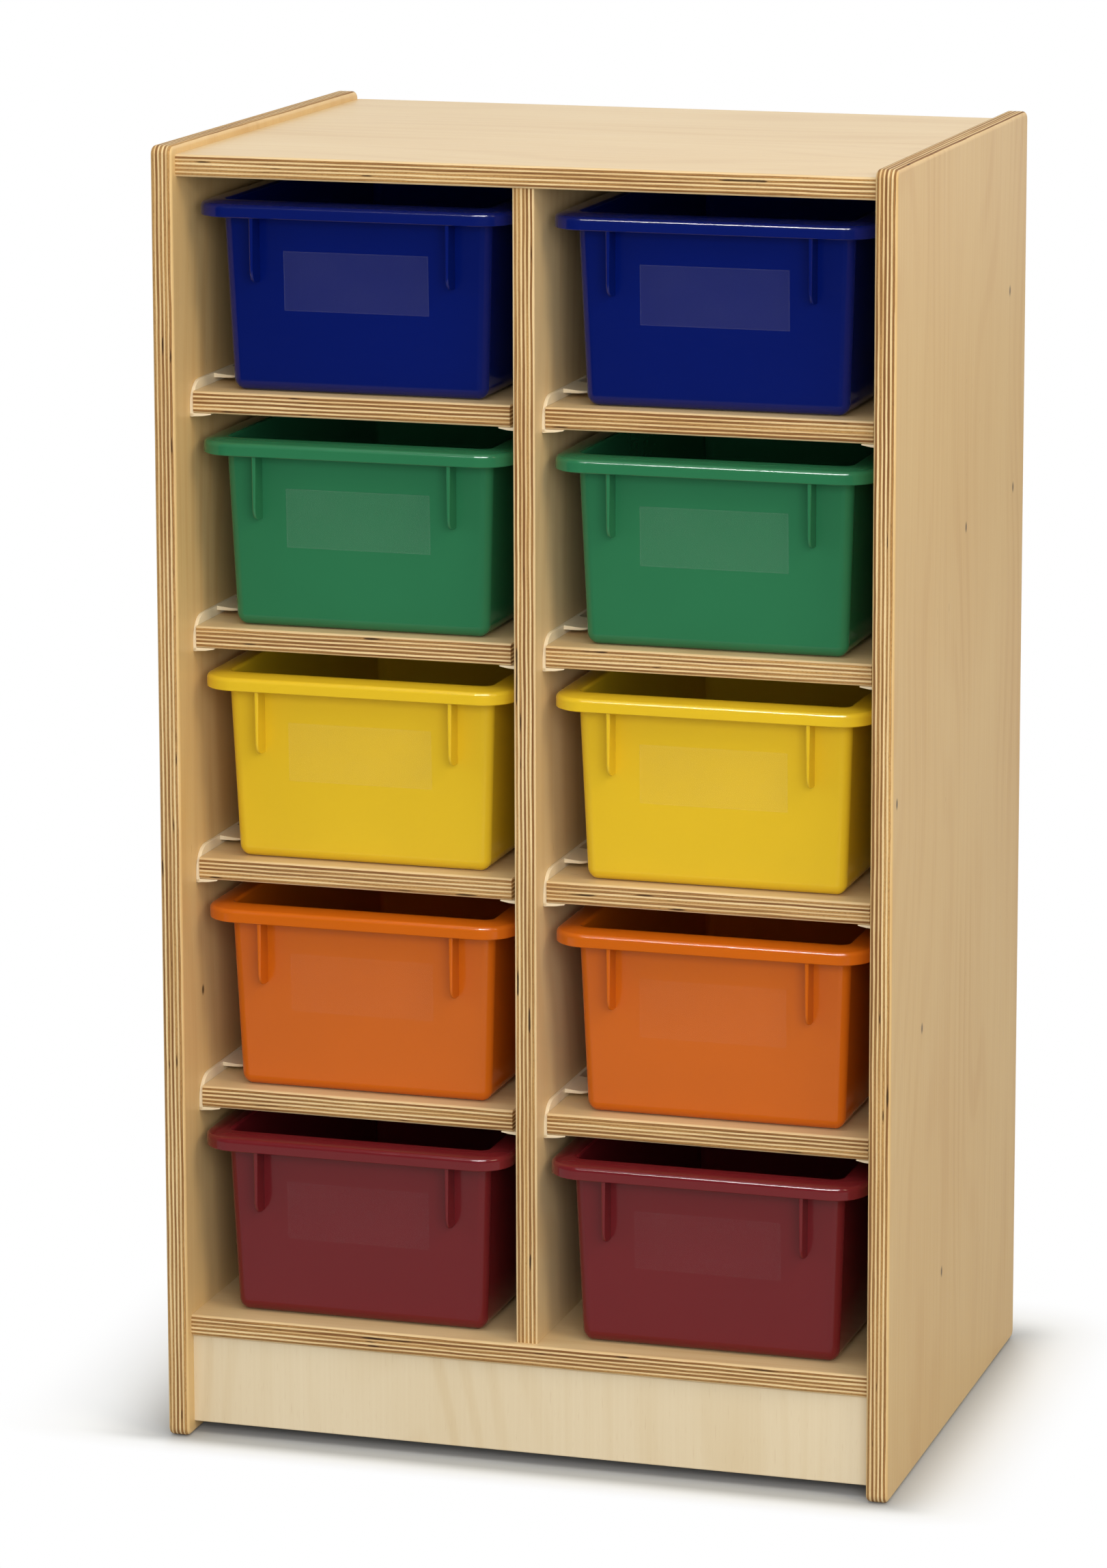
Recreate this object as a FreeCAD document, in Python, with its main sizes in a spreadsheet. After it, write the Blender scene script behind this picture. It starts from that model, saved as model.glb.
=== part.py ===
import FreeCAD, Part
import os

import Sketcher
from FreeCAD import Placement, Rotation, Vector

# Cubby storage unit for a classroom: a birch plywood cabinet with two columns of five
# cubbies, shelves on moulded locking supports, and a moulded tray in every cubby.
# Millimetres, +Z up, front towards -Y, origin on the floor under the middle of the cabinet.

ROWS = 5
SHELVES_PER_COLUMN = ROWS - 1
COLUMNS = (("left", -1), ("right", 1))

# Driving sizes: name, millimetres or degrees, what it measures.
SIZES = (
    ("cabinet_width", "508", "over the two side panels"),
    ("cabinet_depth", "381", "front to rear of a side panel"),
    ("cabinet_height", "889", "floor to the top edge of a side panel"),
    ("panel_thickness", "15", "eleven-ply birch of all structural panels"),
    ("side_corner_radius", "6", "four corners of a side panel, seen from the side"),
    ("side_edge_ease", "2", "eased edges all round both faces of a side panel"),
    ("front_edge_round", "2.5", "round-over on the front edges of horizontal panels"),
    ("divider_edge_round", "1", "eased front edges of the upright divider"),
    ("top_lip", "6", "side panels stand this far above the top panel"),
    ("panel_setback", "8", "top and bottom panels behind the side panels' front"),
    ("divider_setback", "13.5", "divider behind the side panels' front"),
    ("base_height", "70", "floor to the underside of the bottom panel"),
    ("kick_setback", "12", "kick panel behind the side panels' front"),
    ("rail_inset", "20", "rear base rail ahead of the side panels' rear"),
    ("floor_gap", "8", "floor to the kick panel and the rear rail"),
    ("housing_depth", "5", "tongue of a panel let into its neighbour"),
    ("housing_stop", "20", "length of each panel end left without a tongue"),
    ("back_thickness", "6", "plywood back panel"),
    ("back_inset", "8", "back panel ahead of the side panels' rear"),
    ("back_groove", "6", "groove depth for the back panel"),
    ("back_play", "0.5", "back panel edge short of the groove's floor"),
    ("shelf_drop", "3", "lowest opening is this much less than an even row"),
    ("top_spare", "1", "topmost opening is this much more than an even row"),
    ("shelf_setback", "28", "shelf front behind the side panels' front"),
    ("shelf_rear_gap", "2", "shelf rear to the back panel"),
    ("shelf_end_gap", "0.3", "left end of a shelf to its support plates"),
    ("shelf_side_play", "4.5", "sideways play of a shelf between its support plates"),
    ("clip_length", "116", "support plate, front to rear"),
    ("clip_thickness", "2.5", "support plate on the wall, and the flange at its root"),
    ("clip_rise", "6.5", "plate top above the shelf's upper face"),
    ("clip_shoulder", "13", "sloped shoulders of the support plate"),
    ("clip_end_inset", "1", "support plate behind the shelf's front, ahead of its rear"),
    ("flange_reach", "15", "flange under the shelf, from the wall"),
    ("flange_tip", "0.8", "flange thickness at its free edge"),
    ("tab_length", "34", "locking tab over the shelf, front to rear"),
    ("tab_reach", "16", "locking tab, out from the plate"),
    ("tab_clearance", "1.7", "locking tab above the shelf"),
    ("tab_fall", "1.9", "slope of the tab's upper face towards its tip"),
    ("tab_corner", "5", "plan corners cut off the tab's tip"),
    ("tray_side_gap", "6.25", "tray rim to the cubby wall, each side"),
    ("tray_setback", "19", "tray rim behind the side panels' front"),
    ("base_tray_setback", "7", "same, for the bottom row, which is pulled forward"),
    ("tray_rear_gap", "5", "tray rim to the back panel"),
    ("tray_headroom", "16", "tray rim to the shelf above"),
    ("tray_wall", "2.3", "moulded wall, floor and rim"),
    ("tray_draft", "2.2", "degrees that the tray's walls lean outwards"),
    ("tray_corner_radius", "8", "upright corners of the tray's body"),
    ("tray_foot_bevel", "4.5", "bevelled edges under the tray's floor"),
    ("tray_inner_bevel", "4.5", "bevelled corners and floor edges inside the tray"),
    ("rim_overhang", "15.5", "rim out from the body"),
    ("rim_height", "9.2", "crest of the rim to its skirt's lower edge"),
    ("rim_fall", "4.2", "fall of the rim from its crest to its skirt"),
    ("rim_run", "8", "outer part of the rim over which it falls"),
    ("skirt_depth", "5", "open hollow behind the rim's skirt"),
    ("rib_spacing", "136.4", "two ribs under the rim, centre to centre"),
    ("rib_top_width", "2.8", "rib where it meets the rim"),
    ("rib_foot_width", "1.7", "rib at its lower end"),
    ("rib_length", "44", "rib below the skirt"),
    ("rib_setback", "1.9", "rib behind the rim's outer face, inside its skirt"),
    ("rib_bite", "0.5", "rib into the rim above it"),
    ("rib_toe", "7", "bevelled lower front of a rib"),
    ("label_width", "101", "clear label pocket on the tray's front"),
    ("label_height", "40", "clear label pocket on the tray's front"),
    ("label_thickness", "0.4", "clear label pocket"),
    ("label_drop", "53.5", "label's middle below the tray's crest"),
)

# Sizes that follow from the driving ones, written as expressions on the sheet.
FRONT = "(-Sizes.cabinet_depth / 2)"
REAR = "(Sizes.cabinet_depth / 2)"
INNER_X = "(Sizes.cabinet_width / 2 - Sizes.panel_thickness)"
CUBBY_WIDTH = f"({INNER_X} - Sizes.panel_thickness / 2)"
COLUMN_X = f"({CUBBY_WIDTH} / 2 + Sizes.panel_thickness / 2)"
BASE_TOP = "(Sizes.base_height + Sizes.panel_thickness)"
TOP_UNDER = "(Sizes.cabinet_height - Sizes.top_lip - Sizes.panel_thickness)"
BACK_FRONT = f"({REAR} - Sizes.back_inset - Sizes.back_thickness)"
BACK_REAR = f"({REAR} - Sizes.back_inset)"
INNER_HEIGHT = f"({TOP_UNDER} - {BASE_TOP})"
ROW_PITCH = f"(({INNER_HEIGHT} + Sizes.panel_thickness + Sizes.shelf_drop - Sizes.top_spare) / {ROWS})"
LOWEST_SHELF = f"({BASE_TOP} + {ROW_PITCH} - Sizes.panel_thickness - Sizes.shelf_drop)"
SHELF_FRONT = f"({FRONT} + Sizes.shelf_setback)"
SHELF_REAR = f"({BACK_FRONT} - Sizes.shelf_rear_gap)"
SHELF_LENGTH = f"({CUBBY_WIDTH} - 2 * Sizes.clip_thickness - Sizes.shelf_side_play)"
SHELF_DEPTH = f"({SHELF_REAR} - {SHELF_FRONT})"
SHELF_Y = f"(({SHELF_FRONT} + {SHELF_REAR}) / 2)"
CLIP_Y = f"({SHELF_DEPTH} / 2 - Sizes.clip_end_inset - Sizes.clip_length / 2)"
TRAY_HEIGHT = f"({ROW_PITCH} - Sizes.panel_thickness - Sizes.tray_headroom)"
RIM_WIDTH = f"({CUBBY_WIDTH} - 2 * Sizes.tray_side_gap)"
RIM_LENGTH = f"({BACK_FRONT} - Sizes.tray_rear_gap - {FRONT} - Sizes.tray_setback)"
BODY_X = f"({RIM_WIDTH} / 2 - Sizes.rim_overhang)"
BODY_Y = f"({RIM_LENGTH} / 2 - Sizes.rim_overhang)"
RIM_CORNER = "(Sizes.tray_corner_radius + Sizes.rim_overhang)"
RIM_CEILING = f"({TRAY_HEIGHT} - Sizes.rim_height + Sizes.skirt_depth)"
CAVITY_X = f"({BODY_X} - Sizes.tray_wall)"
CAVITY_Y = f"({BODY_Y} - Sizes.tray_wall)"

doc = FreeCAD.newDocument("cubby_storage_unit")
sheet = doc.addObject("Spreadsheet::Sheet", "Sizes")
for row, (name, size, meaning) in enumerate(SIZES, 1):
    sheet.set(f"A{row}", name)
    sheet.set(f"B{row}", size)
    sheet.setAlias(f"B{row}", name)
    sheet.set(f"C{row}", meaning)
doc.recompute()

parts = []


def value(expression):
    """The present number of an expression on the sheet."""
    number = sheet.evalExpression(str(expression).replace("Sizes.", ""))
    return float(getattr(number, "Value", number))


def new_body(label):
    """An empty body named for its piece."""
    body = doc.addObject("PartDesign::Body", label)
    body.Label = label
    return body


def place(body, x="0", y="0", z="0"):
    """Bind a body's place to expressions and keep it as a finished piece."""
    for axis, expression in zip("xyz", (x, y, z)):
        body.setExpression(f"Placement.Base.{axis}", expression)
    parts.append(body)


def clone(master, label, **where):
    """A further piece from the same mould or template, with a place of its own."""
    body = new_body(label)
    body.AllowCompound = master.AllowCompound
    copy = doc.addObject("PartDesign::FeatureBase", f"{label}_shape")
    copy.BaseFeature = master
    body.Group = [copy]
    body.Tip = copy
    place(body, **where)
    return body


def origin_item(body, role):
    """An origin plane or axis of a body."""
    return next(item for item in body.Origin.OriginFeatures if item.Role == role)


def new_sketch(body, name, plane, offset="0"):
    """An empty sketch on one of the body's origin planes, lifted along its normal."""
    sketch = body.newObject("Sketcher::SketchObject", f"{body.Name}_{name}")
    sketch.AttachmentSupport = [(origin_item(body, plane), "")]
    sketch.MapMode = "FlatFace"
    sketch.setExpression("AttachmentOffset.Base.z", offset)
    return sketch


def measure(sketch, kind, first, second, expression):
    """A dimension between two points of a sketch, bound to an expression."""
    number = sketch.addConstraint(Sketcher.Constraint(kind, *first, *second, value(expression)))
    sketch.setExpression(f"Constraints[{number}]", expression)


ORIGIN = (-1, 1)
START, END, CENTRE = range(1, 4)


def locate(sketch, point, x, y):
    """Hold a point of a sketch at two expressions from the sketch's origin."""
    measure(sketch, "DistanceX", ORIGIN, point, x)
    measure(sketch, "DistanceY", ORIGIN, point, y)


def polygon(sketch, corners):
    """A closed outline of straight lines through corners given as expressions."""
    spots = [Vector(value(x), value(y), 0) for x, y in corners]
    lines = [sketch.addGeometry(Part.LineSegment(a, b)) for a, b in zip(spots, spots[1:] + spots[:1])]
    for line, following in zip(lines, lines[1:] + lines[:1]):
        sketch.addConstraint(Sketcher.Constraint("Coincident", line, END, following, START))
    for line, (x, y) in zip(lines, corners):
        locate(sketch, (line, START), x, y)


def rectangle(sketch, left, low, right, high):
    """A rectangle between four expressions."""
    polygon(sketch, ((left, low), (right, low), (right, high), (left, high)))


def rounded_rectangle(sketch, half_x, half_y, radius):
    """A rectangle about the sketch's origin with round corners, from expressions."""
    wide, deep, bend = value(half_x), value(half_y), value(radius)
    quarter = Vector(1, 0, 0).getAngle(Vector(0, 1, 0))
    sides = ((Vector(bend - wide, -deep, 0), Vector(wide - bend, -deep, 0)),
             (Vector(wide, bend - deep, 0), Vector(wide, deep - bend, 0)),
             (Vector(wide - bend, deep, 0), Vector(bend - wide, deep, 0)),
             (Vector(-wide, deep - bend, 0), Vector(-wide, bend - deep, 0)))
    lines = [sketch.addGeometry(Part.LineSegment(start, end)) for start, end in sides]
    corners = []
    for turn, (start, end) in enumerate(sides):
        inwards = Vector(start.y - end.y, end.x - start.x, 0).normalize() * bend
        ring = Part.Circle(end + inwards, Vector(0, 0, 1), bend)
        corners.append(sketch.addGeometry(Part.ArcOfCircle(ring, (turn - 1) * quarter, turn * quarter)))
    for line, corner, following in zip(lines, corners, lines[1:] + lines[:1]):
        sketch.addConstraint(Sketcher.Constraint("Tangent", line, END, corner, START))
        sketch.addConstraint(Sketcher.Constraint("Tangent", corner, END, following, START))
    number = sketch.addConstraint(Sketcher.Constraint("Radius", corners[0], bend))
    sketch.setExpression(f"Constraints[{number}]", radius)
    for corner in corners[1:]:
        sketch.addConstraint(Sketcher.Constraint("Equal", corners[0], corner))
    front, right, rear, left = lines
    for level in (front, rear):
        sketch.addConstraint(Sketcher.Constraint("Horizontal", level))
    for upright in (right, left):
        sketch.addConstraint(Sketcher.Constraint("Vertical", upright))
    measure(sketch, "DistanceY", ORIGIN, (front, START), f"-{half_y}")
    measure(sketch, "DistanceX", ORIGIN, (right, START), half_x)
    measure(sketch, "DistanceY", ORIGIN, (rear, START), half_y)
    measure(sketch, "DistanceX", ORIGIN, (left, START), f"-{half_x}")


def grow(body, kind, name, sketch, length, reverse=False, symmetric=False):
    """Pad or pocket a sketch by an expression, and check that the volume changes the right way."""
    before = body.Shape.Volume if body.Tip else 0.0
    feature = body.newObject(f"PartDesign::{kind}", f"{body.Name}_{name}")
    feature.Profile = sketch
    feature.Reversed = reverse
    feature.SideType = "Symmetric" if symmetric else "One side"
    feature.setExpression("Length", length)
    doc.recompute()
    change = body.Shape.Volume - before
    if change * (1 if kind == "Pad" else -1) <= 0:
        raise ValueError(f"{feature.Name} changes nothing")
    return feature


def dress(body, kind, name, chosen, **sizes):
    """Fillet or chamfer the edges of a body's newest feature that pass a test."""
    base = body.Tip
    names = [f"Edge{number}" for number, edge in enumerate(base.Shape.Edges, 1) if chosen(edge)]
    feature = body.newObject(f"PartDesign::{kind}", f"{body.Name}_{name}")
    feature.Base = (base, names)
    if "Size2" in sizes:
        feature.ChamferType = "Two distances"
    for key, expression in sizes.items():
        feature.setExpression(key, expression)
    doc.recompute()


def repeat(body, kind, name, **settings):
    """A mirror or pattern as the newest feature of a body."""
    feature = body.newObject(f"PartDesign::{kind}", f"{body.Name}_{name}")
    for key, setting in settings.items():
        if key.startswith("Length"):
            feature.setExpression(key, setting)
        else:
            setattr(feature, key, setting)
    body.Tip = feature
    doc.recompute()
    return feature


CLOSE = 0.01


def is_near(first, second):
    return abs(first - second) < CLOSE


def runs_along(edge, axis):
    """Whether a straight edge runs along X, Y or Z."""
    if edge.Curve.TypeId != "Part::GeomLine":
        return False
    spread = [edge.BoundBox.XLength, edge.BoundBox.YLength, edge.BoundBox.ZLength]
    return all(is_near(length, 0) for index, length in enumerate(spread) if index != "XYZ".index(axis))


def lies_in(edge, axis, level):
    """Whether an edge lies wholly in a plane across X, Y or Z."""
    box = edge.BoundBox
    return is_near(getattr(box, f"{axis}Min"), level) and is_near(getattr(box, f"{axis}Max"), level)


def row_height(shelf):
    """Underside of a shelf, counted from the lowest."""
    return f"{LOWEST_SHELF} + {shelf} * {ROW_PITCH}"


def side_panel(label, hand):
    """Upright side: eased all round, housed for the panels and grooved for the back inside.

    The body's YZ plane is the panel's inner face, and the wood lies beyond it.
    """
    body = new_body(label)
    outwards = hand > 0
    outline = new_sketch(body, "outline", "YZ_Plane")
    rectangle(outline, FRONT, "0", REAR, "Sizes.cabinet_height")
    grow(body, "Pad", "board", outline, "Sizes.panel_thickness", reverse=not outwards)
    dress(body, "Fillet", "corners", lambda edge: runs_along(edge, "X"), Radius="Sizes.side_corner_radius")
    dress(body, "Chamfer", "edges", lambda edge: edge.BoundBox.XLength < CLOSE, Size="Sizes.side_edge_ease")

    housings = new_sketch(body, "housings", "YZ_Plane")
    tongue_front = f"{FRONT} + Sizes.panel_setback + Sizes.housing_stop"
    tongue_rear = f"{REAR} - Sizes.housing_stop"
    rectangle(housings, tongue_front, "Sizes.base_height", tongue_rear, BASE_TOP)
    rectangle(housings, tongue_front, TOP_UNDER, tongue_rear, f"{TOP_UNDER} + Sizes.panel_thickness")
    grow(body, "Pocket", "housing", housings, "Sizes.housing_depth", reverse=outwards)

    groove = new_sketch(body, "groove", "YZ_Plane")
    rectangle(groove, BACK_FRONT, f"{BASE_TOP} - Sizes.back_groove",
              BACK_REAR, f"{TOP_UNDER} + Sizes.back_groove")
    grow(body, "Pocket", "back_groove", groove, "Sizes.back_groove", reverse=outwards)
    place(body, x=f"{hand} * {INNER_X}")


def level_panel(label, underside, grooved_face):
    """Top or bottom panel: tongues at both ends, a housing for the divider and the back's groove."""
    body = new_body(label)
    board = new_sketch(body, "outline", "XY_Plane")
    panel_front = f"{FRONT} + Sizes.panel_setback"
    rectangle(board, f"-{INNER_X}", panel_front, INNER_X, REAR)
    grow(body, "Pad", "board", board, "Sizes.panel_thickness")
    front_level = value(panel_front)
    dress(body, "Fillet", "front_edges",
          lambda edge: runs_along(edge, "X") and lies_in(edge, "Y", front_level),
          Radius="Sizes.front_edge_round")

    tongues = new_sketch(body, "tongues", "XY_Plane")
    reach = f"{INNER_X} + Sizes.housing_depth"
    tongue_front = f"{panel_front} + Sizes.housing_stop"
    tongue_rear = f"{REAR} - Sizes.housing_stop"
    rectangle(tongues, f"-({reach})", tongue_front, reach, tongue_rear)
    grow(body, "Pad", "tongue", tongues, "Sizes.panel_thickness")

    upward = grooved_face == "upper"
    level = "Sizes.panel_thickness" if upward else "0"
    housing = new_sketch(body, "housing", "XY_Plane", level)
    housing_front = f"{FRONT} + Sizes.divider_setback + Sizes.housing_stop"
    rectangle(housing, "-Sizes.panel_thickness / 2", housing_front,
              "Sizes.panel_thickness / 2", f"{BACK_FRONT} - Sizes.housing_stop")
    grow(body, "Pocket", "divider_housing", housing, "Sizes.housing_depth", reverse=not upward)

    groove = new_sketch(body, "groove", "XY_Plane", level)
    rectangle(groove, f"-({reach})", BACK_FRONT, reach, BACK_REAR)
    grow(body, "Pocket", "back_groove", groove, "Sizes.back_groove", reverse=not upward)
    place(body, z=underside)


def divider():
    """Upright between the columns, with tongues above and below."""
    body = new_body("center_divider")
    board = new_sketch(body, "outline", "YZ_Plane")
    divider_front = f"{FRONT} + Sizes.divider_setback"
    rectangle(board, divider_front, BASE_TOP, BACK_FRONT, TOP_UNDER)
    grow(body, "Pad", "board", board, "Sizes.panel_thickness", symmetric=True)
    front_level = value(divider_front)
    dress(body, "Fillet", "front_edges",
          lambda edge: runs_along(edge, "Z") and lies_in(edge, "Y", front_level),
          Radius="Sizes.divider_edge_round")

    tongues = new_sketch(body, "tongues", "YZ_Plane")
    rectangle(tongues, f"{divider_front} + Sizes.housing_stop", f"{BASE_TOP} - Sizes.housing_depth",
              f"{BACK_FRONT} - Sizes.housing_stop", f"{TOP_UNDER} + Sizes.housing_depth")
    grow(body, "Pad", "tongue", tongues, "Sizes.panel_thickness", symmetric=True)
    place(body)


def back_panel():
    """Thin back, let into grooves on all four sides."""
    body = new_body("back_panel")
    board = new_sketch(body, "outline", "XZ_Plane")
    grip = "(Sizes.back_groove - Sizes.back_play)"
    rectangle(board, f"-({INNER_X} + {grip})", f"{BASE_TOP} - {grip}",
              f"{INNER_X} + {grip}", f"{TOP_UNDER} + {grip}")
    grow(body, "Pad", "board", board, "Sizes.back_thickness")
    place(body, y=BACK_REAR)


def base_board(label, front):
    """Board glued between the side panels under the bottom panel."""
    body = new_body(label)
    board = new_sketch(body, "outline", "XZ_Plane")
    rectangle(board, f"-{INNER_X}", "Sizes.floor_gap", INNER_X, "Sizes.base_height")
    grow(body, "Pad", "board", board, "Sizes.panel_thickness", reverse=True)
    place(body, y=front)


def shelf_board(label, **where):
    """Loose shelf with rounded front edges."""
    body = new_body(label)
    board = new_sketch(body, "outline", "XY_Plane")
    half_depth = f"{SHELF_DEPTH} / 2"
    rectangle(board, f"-{SHELF_LENGTH} / 2", f"-{half_depth}", f"{SHELF_LENGTH} / 2", half_depth)
    grow(body, "Pad", "board", board, "Sizes.panel_thickness")
    front_level = -value(half_depth)
    dress(body, "Fillet", "front_edges",
          lambda edge: runs_along(edge, "X") and lies_in(edge, "Y", front_level),
          Radius="Sizes.front_edge_round")
    place(body, **where)
    return body


def support_set(label, **where):
    """The four moulded supports of one shelf.

    Each is a plate on the wall with a tapered flange under the shelf and a locking tab over it.
    The left front one is modelled and mirrored to the other places.
    """
    body = new_body(label)
    body.AllowCompound = True
    wall = f"(-{CUBBY_WIDTH} / 2)"
    plate_low = "-Sizes.clip_thickness"
    plate_high = "Sizes.panel_thickness + Sizes.clip_rise"
    plate = new_sketch(body, "plate_outline", "YZ_Plane", wall)
    rectangle(plate, f"-{CLIP_Y} - Sizes.clip_length / 2", plate_low,
              f"-{CLIP_Y} + Sizes.clip_length / 2", plate_high)
    grow(body, "Pad", "plate", plate, "Sizes.clip_thickness")
    top_level = value(plate_high)
    dress(body, "Chamfer", "shoulders",
          lambda edge: runs_along(edge, "X") and lies_in(edge, "Z", top_level), Size="Sizes.clip_shoulder")

    flange = new_sketch(body, "flange_section", "XZ_Plane", CLIP_Y)
    flange_outline(flange, wall)
    grow(body, "Pad", "flange", flange, "Sizes.clip_length", symmetric=True)

    tab = new_sketch(body, "tab_section", "XZ_Plane", CLIP_Y)
    root = f"{wall} + Sizes.clip_thickness / 2"
    tip = f"{wall} + Sizes.clip_thickness + Sizes.tab_reach"
    under = "Sizes.panel_thickness + Sizes.tab_clearance"
    polygon(tab, ((root, under), (tip, under), (tip, f"{plate_high} - Sizes.tab_fall"), (root, plate_high)))
    grow(body, "Pad", "tab", tab, "Sizes.tab_length", symmetric=True)
    tip_level = value(tip)
    dress(body, "Chamfer", "tab_corners",
          lambda edge: runs_along(edge, "Z") and lies_in(edge, "X", tip_level), Size="Sizes.tab_corner")

    repeat(body, "Mirrored", "other_wall", TransformMode="Whole shape",
           MirrorPlane=(origin_item(body, "YZ_Plane"), [""]))
    repeat(body, "Mirrored", "rear_pair", TransformMode="Whole shape",
           MirrorPlane=(origin_item(body, "XZ_Plane"), [""]))
    place(body, **where)
    return body


def flange_outline(sketch, wall):
    """Section of a support's flange: flat above, curved below, thin at its free edge."""
    root, low = value(wall), -value("Sizes.clip_thickness")
    tip, tip_low = root + value("Sizes.flange_reach"), -value("Sizes.flange_tip")
    rise = tip_low - low
    radius = ((tip - root) ** 2 + rise ** 2) / (2 * rise)
    centre = Vector(root, low + radius, 0)
    turn = Vector(tip, tip_low, 0) - centre
    foot = -Vector(0, 1, 0).getAngle(Vector(1, 0, 0))
    curve = Part.ArcOfCircle(Part.Circle(centre, Vector(0, 0, 1), radius), foot,
                             foot + turn.getAngle(Vector(0, -1, 0)))
    under = sketch.addGeometry(curve)
    edge = sketch.addGeometry(Part.LineSegment(Vector(tip, tip_low, 0), Vector(tip, 0, 0)))
    upper = sketch.addGeometry(Part.LineSegment(Vector(tip, 0, 0), Vector(root, 0, 0)))
    inner = sketch.addGeometry(Part.LineSegment(Vector(root, 0, 0), Vector(root, low, 0)))
    for first, second in ((under, edge), (edge, upper), (upper, inner), (inner, under)):
        sketch.addConstraint(Sketcher.Constraint("Coincident", first, END, second, START))
    for line in (edge, inner):
        sketch.addConstraint(Sketcher.Constraint("Vertical", line))
    sketch.addConstraint(Sketcher.Constraint("Horizontal", upper))
    locate(sketch, (inner, START), wall, "0")
    measure(sketch, "DistanceX", ORIGIN, (edge, START), f"{wall} + Sizes.flange_reach")
    measure(sketch, "DistanceY", ORIGIN, (edge, START), "-Sizes.flange_tip")
    measure(sketch, "DistanceY", ORIGIN, (inner, END), "-Sizes.clip_thickness")
    measure(sketch, "DistanceX", ORIGIN, (under, CENTRE), wall)


def tray(label, **where):
    """Moulded tray: a rim with a skirt, then the drafted body hung inside it, ribs and cavity."""
    body = new_body(label)
    rim(body)

    drafted_block(body, "AdditiveWedge", "body", BODY_X, BODY_Y, "0")
    ribs(body)
    drafted_block(body, "SubtractiveWedge", "cavity", CAVITY_X, CAVITY_Y, "Sizes.tray_wall")
    depth = value(f"{TRAY_HEIGHT} - Sizes.tray_wall")
    dress(body, "Chamfer", "inner_corners", lambda edge: is_near(edge.BoundBox.ZLength, depth),
          Size="Sizes.tray_inner_bevel")
    floor_level = value("Sizes.tray_wall")
    dress(body, "Chamfer", "inner_foot", lambda edge: lies_in(edge, "Z", floor_level),
          Size="Sizes.tray_inner_bevel")
    hanging = value(RIM_CEILING)
    dress(body, "Fillet", "outer_corners", lambda edge: is_near(edge.BoundBox.ZLength, hanging),
          Radius="Sizes.tray_corner_radius")
    foot_bevel(body, "ends", "YZ_Plane", BODY_Y)
    foot_bevel(body, "sides", "XZ_Plane", BODY_X)
    place(body, **where)
    return body


def foot_bevel(body, name, plane, half_width):
    """Bevel two opposite lower edges of a tray with one straight cut each."""
    foot = f"({half_width} - {TRAY_HEIGHT} * tan(Sizes.tray_draft))"
    inner, outer = f"({foot} - Sizes.tray_foot_bevel)", f"({foot} + Sizes.tray_foot_bevel)"
    section = new_sketch(body, f"foot_{name}_section", plane)
    for hand in ("-1", "1"):
        polygon(section, ((f"{hand} * {inner}", "0"), (f"{hand} * {outer}", "0"),
                          (f"{hand} * {outer}", "2 * Sizes.tray_foot_bevel")))
    grow(body, "Pocket", f"foot_{name}", section, RIM_LENGTH, symmetric=True)


def drafted_block(body, kind, name, half_x, half_y, floor):
    """Block from the tray's crest down to a floor, each side leaning in by the draft."""
    block = body.newObject(f"PartDesign::{kind}", f"{body.Name}_{name}")
    block.AttachmentSupport = [(origin_item(body, "XZ_Plane"), "")]
    block.MapMode = "FlatFace"
    lean = f"({TRAY_HEIGHT} - {floor}) * tan(Sizes.tray_draft)"
    for key, expression in (("Ymin", floor), ("Ymax", TRAY_HEIGHT), ("X2max", half_x), ("Z2max", half_y),
                            ("Xmax", f"{half_x} - {lean}"), ("Zmax", f"{half_y} - {lean}"),
                            ("X2min", f"-{half_x}"), ("Z2min", f"-{half_y}"),
                            ("Xmin", f"{lean} - {half_x}"), ("Zmin", f"{lean} - {half_y}")):
        block.setExpression(key, expression)
    doc.recompute()


def rim(body):
    """Rim of a tray: it falls gently from its crest, turns down into a skirt and is open below."""
    outline = new_sketch(body, "rim_outline", "XY_Plane", TRAY_HEIGHT)
    half_x, half_y = f"({RIM_WIDTH} / 2)", f"({RIM_LENGTH} / 2)"
    rounded_rectangle(outline, half_x, half_y, RIM_CORNER)
    grow(body, "Pad", "rim_blank", outline, "Sizes.rim_height", reverse=True)

    crest_level = value(TRAY_HEIGHT)
    dress(body, "Chamfer", "rim_fall", lambda edge: lies_in(edge, "Z", crest_level),
          Size="Sizes.rim_fall", Size2="Sizes.rim_run")

    hollow = new_sketch(body, "rim_hollow", "XY_Plane", f"{TRAY_HEIGHT} - Sizes.rim_height")
    wide, deep = f"({half_x} - Sizes.tray_wall)", f"({half_y} - Sizes.tray_wall)"
    narrow, short = f"({wide} - {RIM_CORNER})", f"({deep} - {RIM_CORNER})"
    polygon(hollow, ((f"-{narrow}", f"-{deep}"), (narrow, f"-{deep}"), (wide, f"-{short}"), (wide, short),
                     (narrow, deep), (f"-{narrow}", deep), (f"-{wide}", short), (f"-{wide}", f"-{short}")))
    grow(body, "Pocket", "rim_underside", hollow, "Sizes.skirt_depth", reverse=True)


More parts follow.
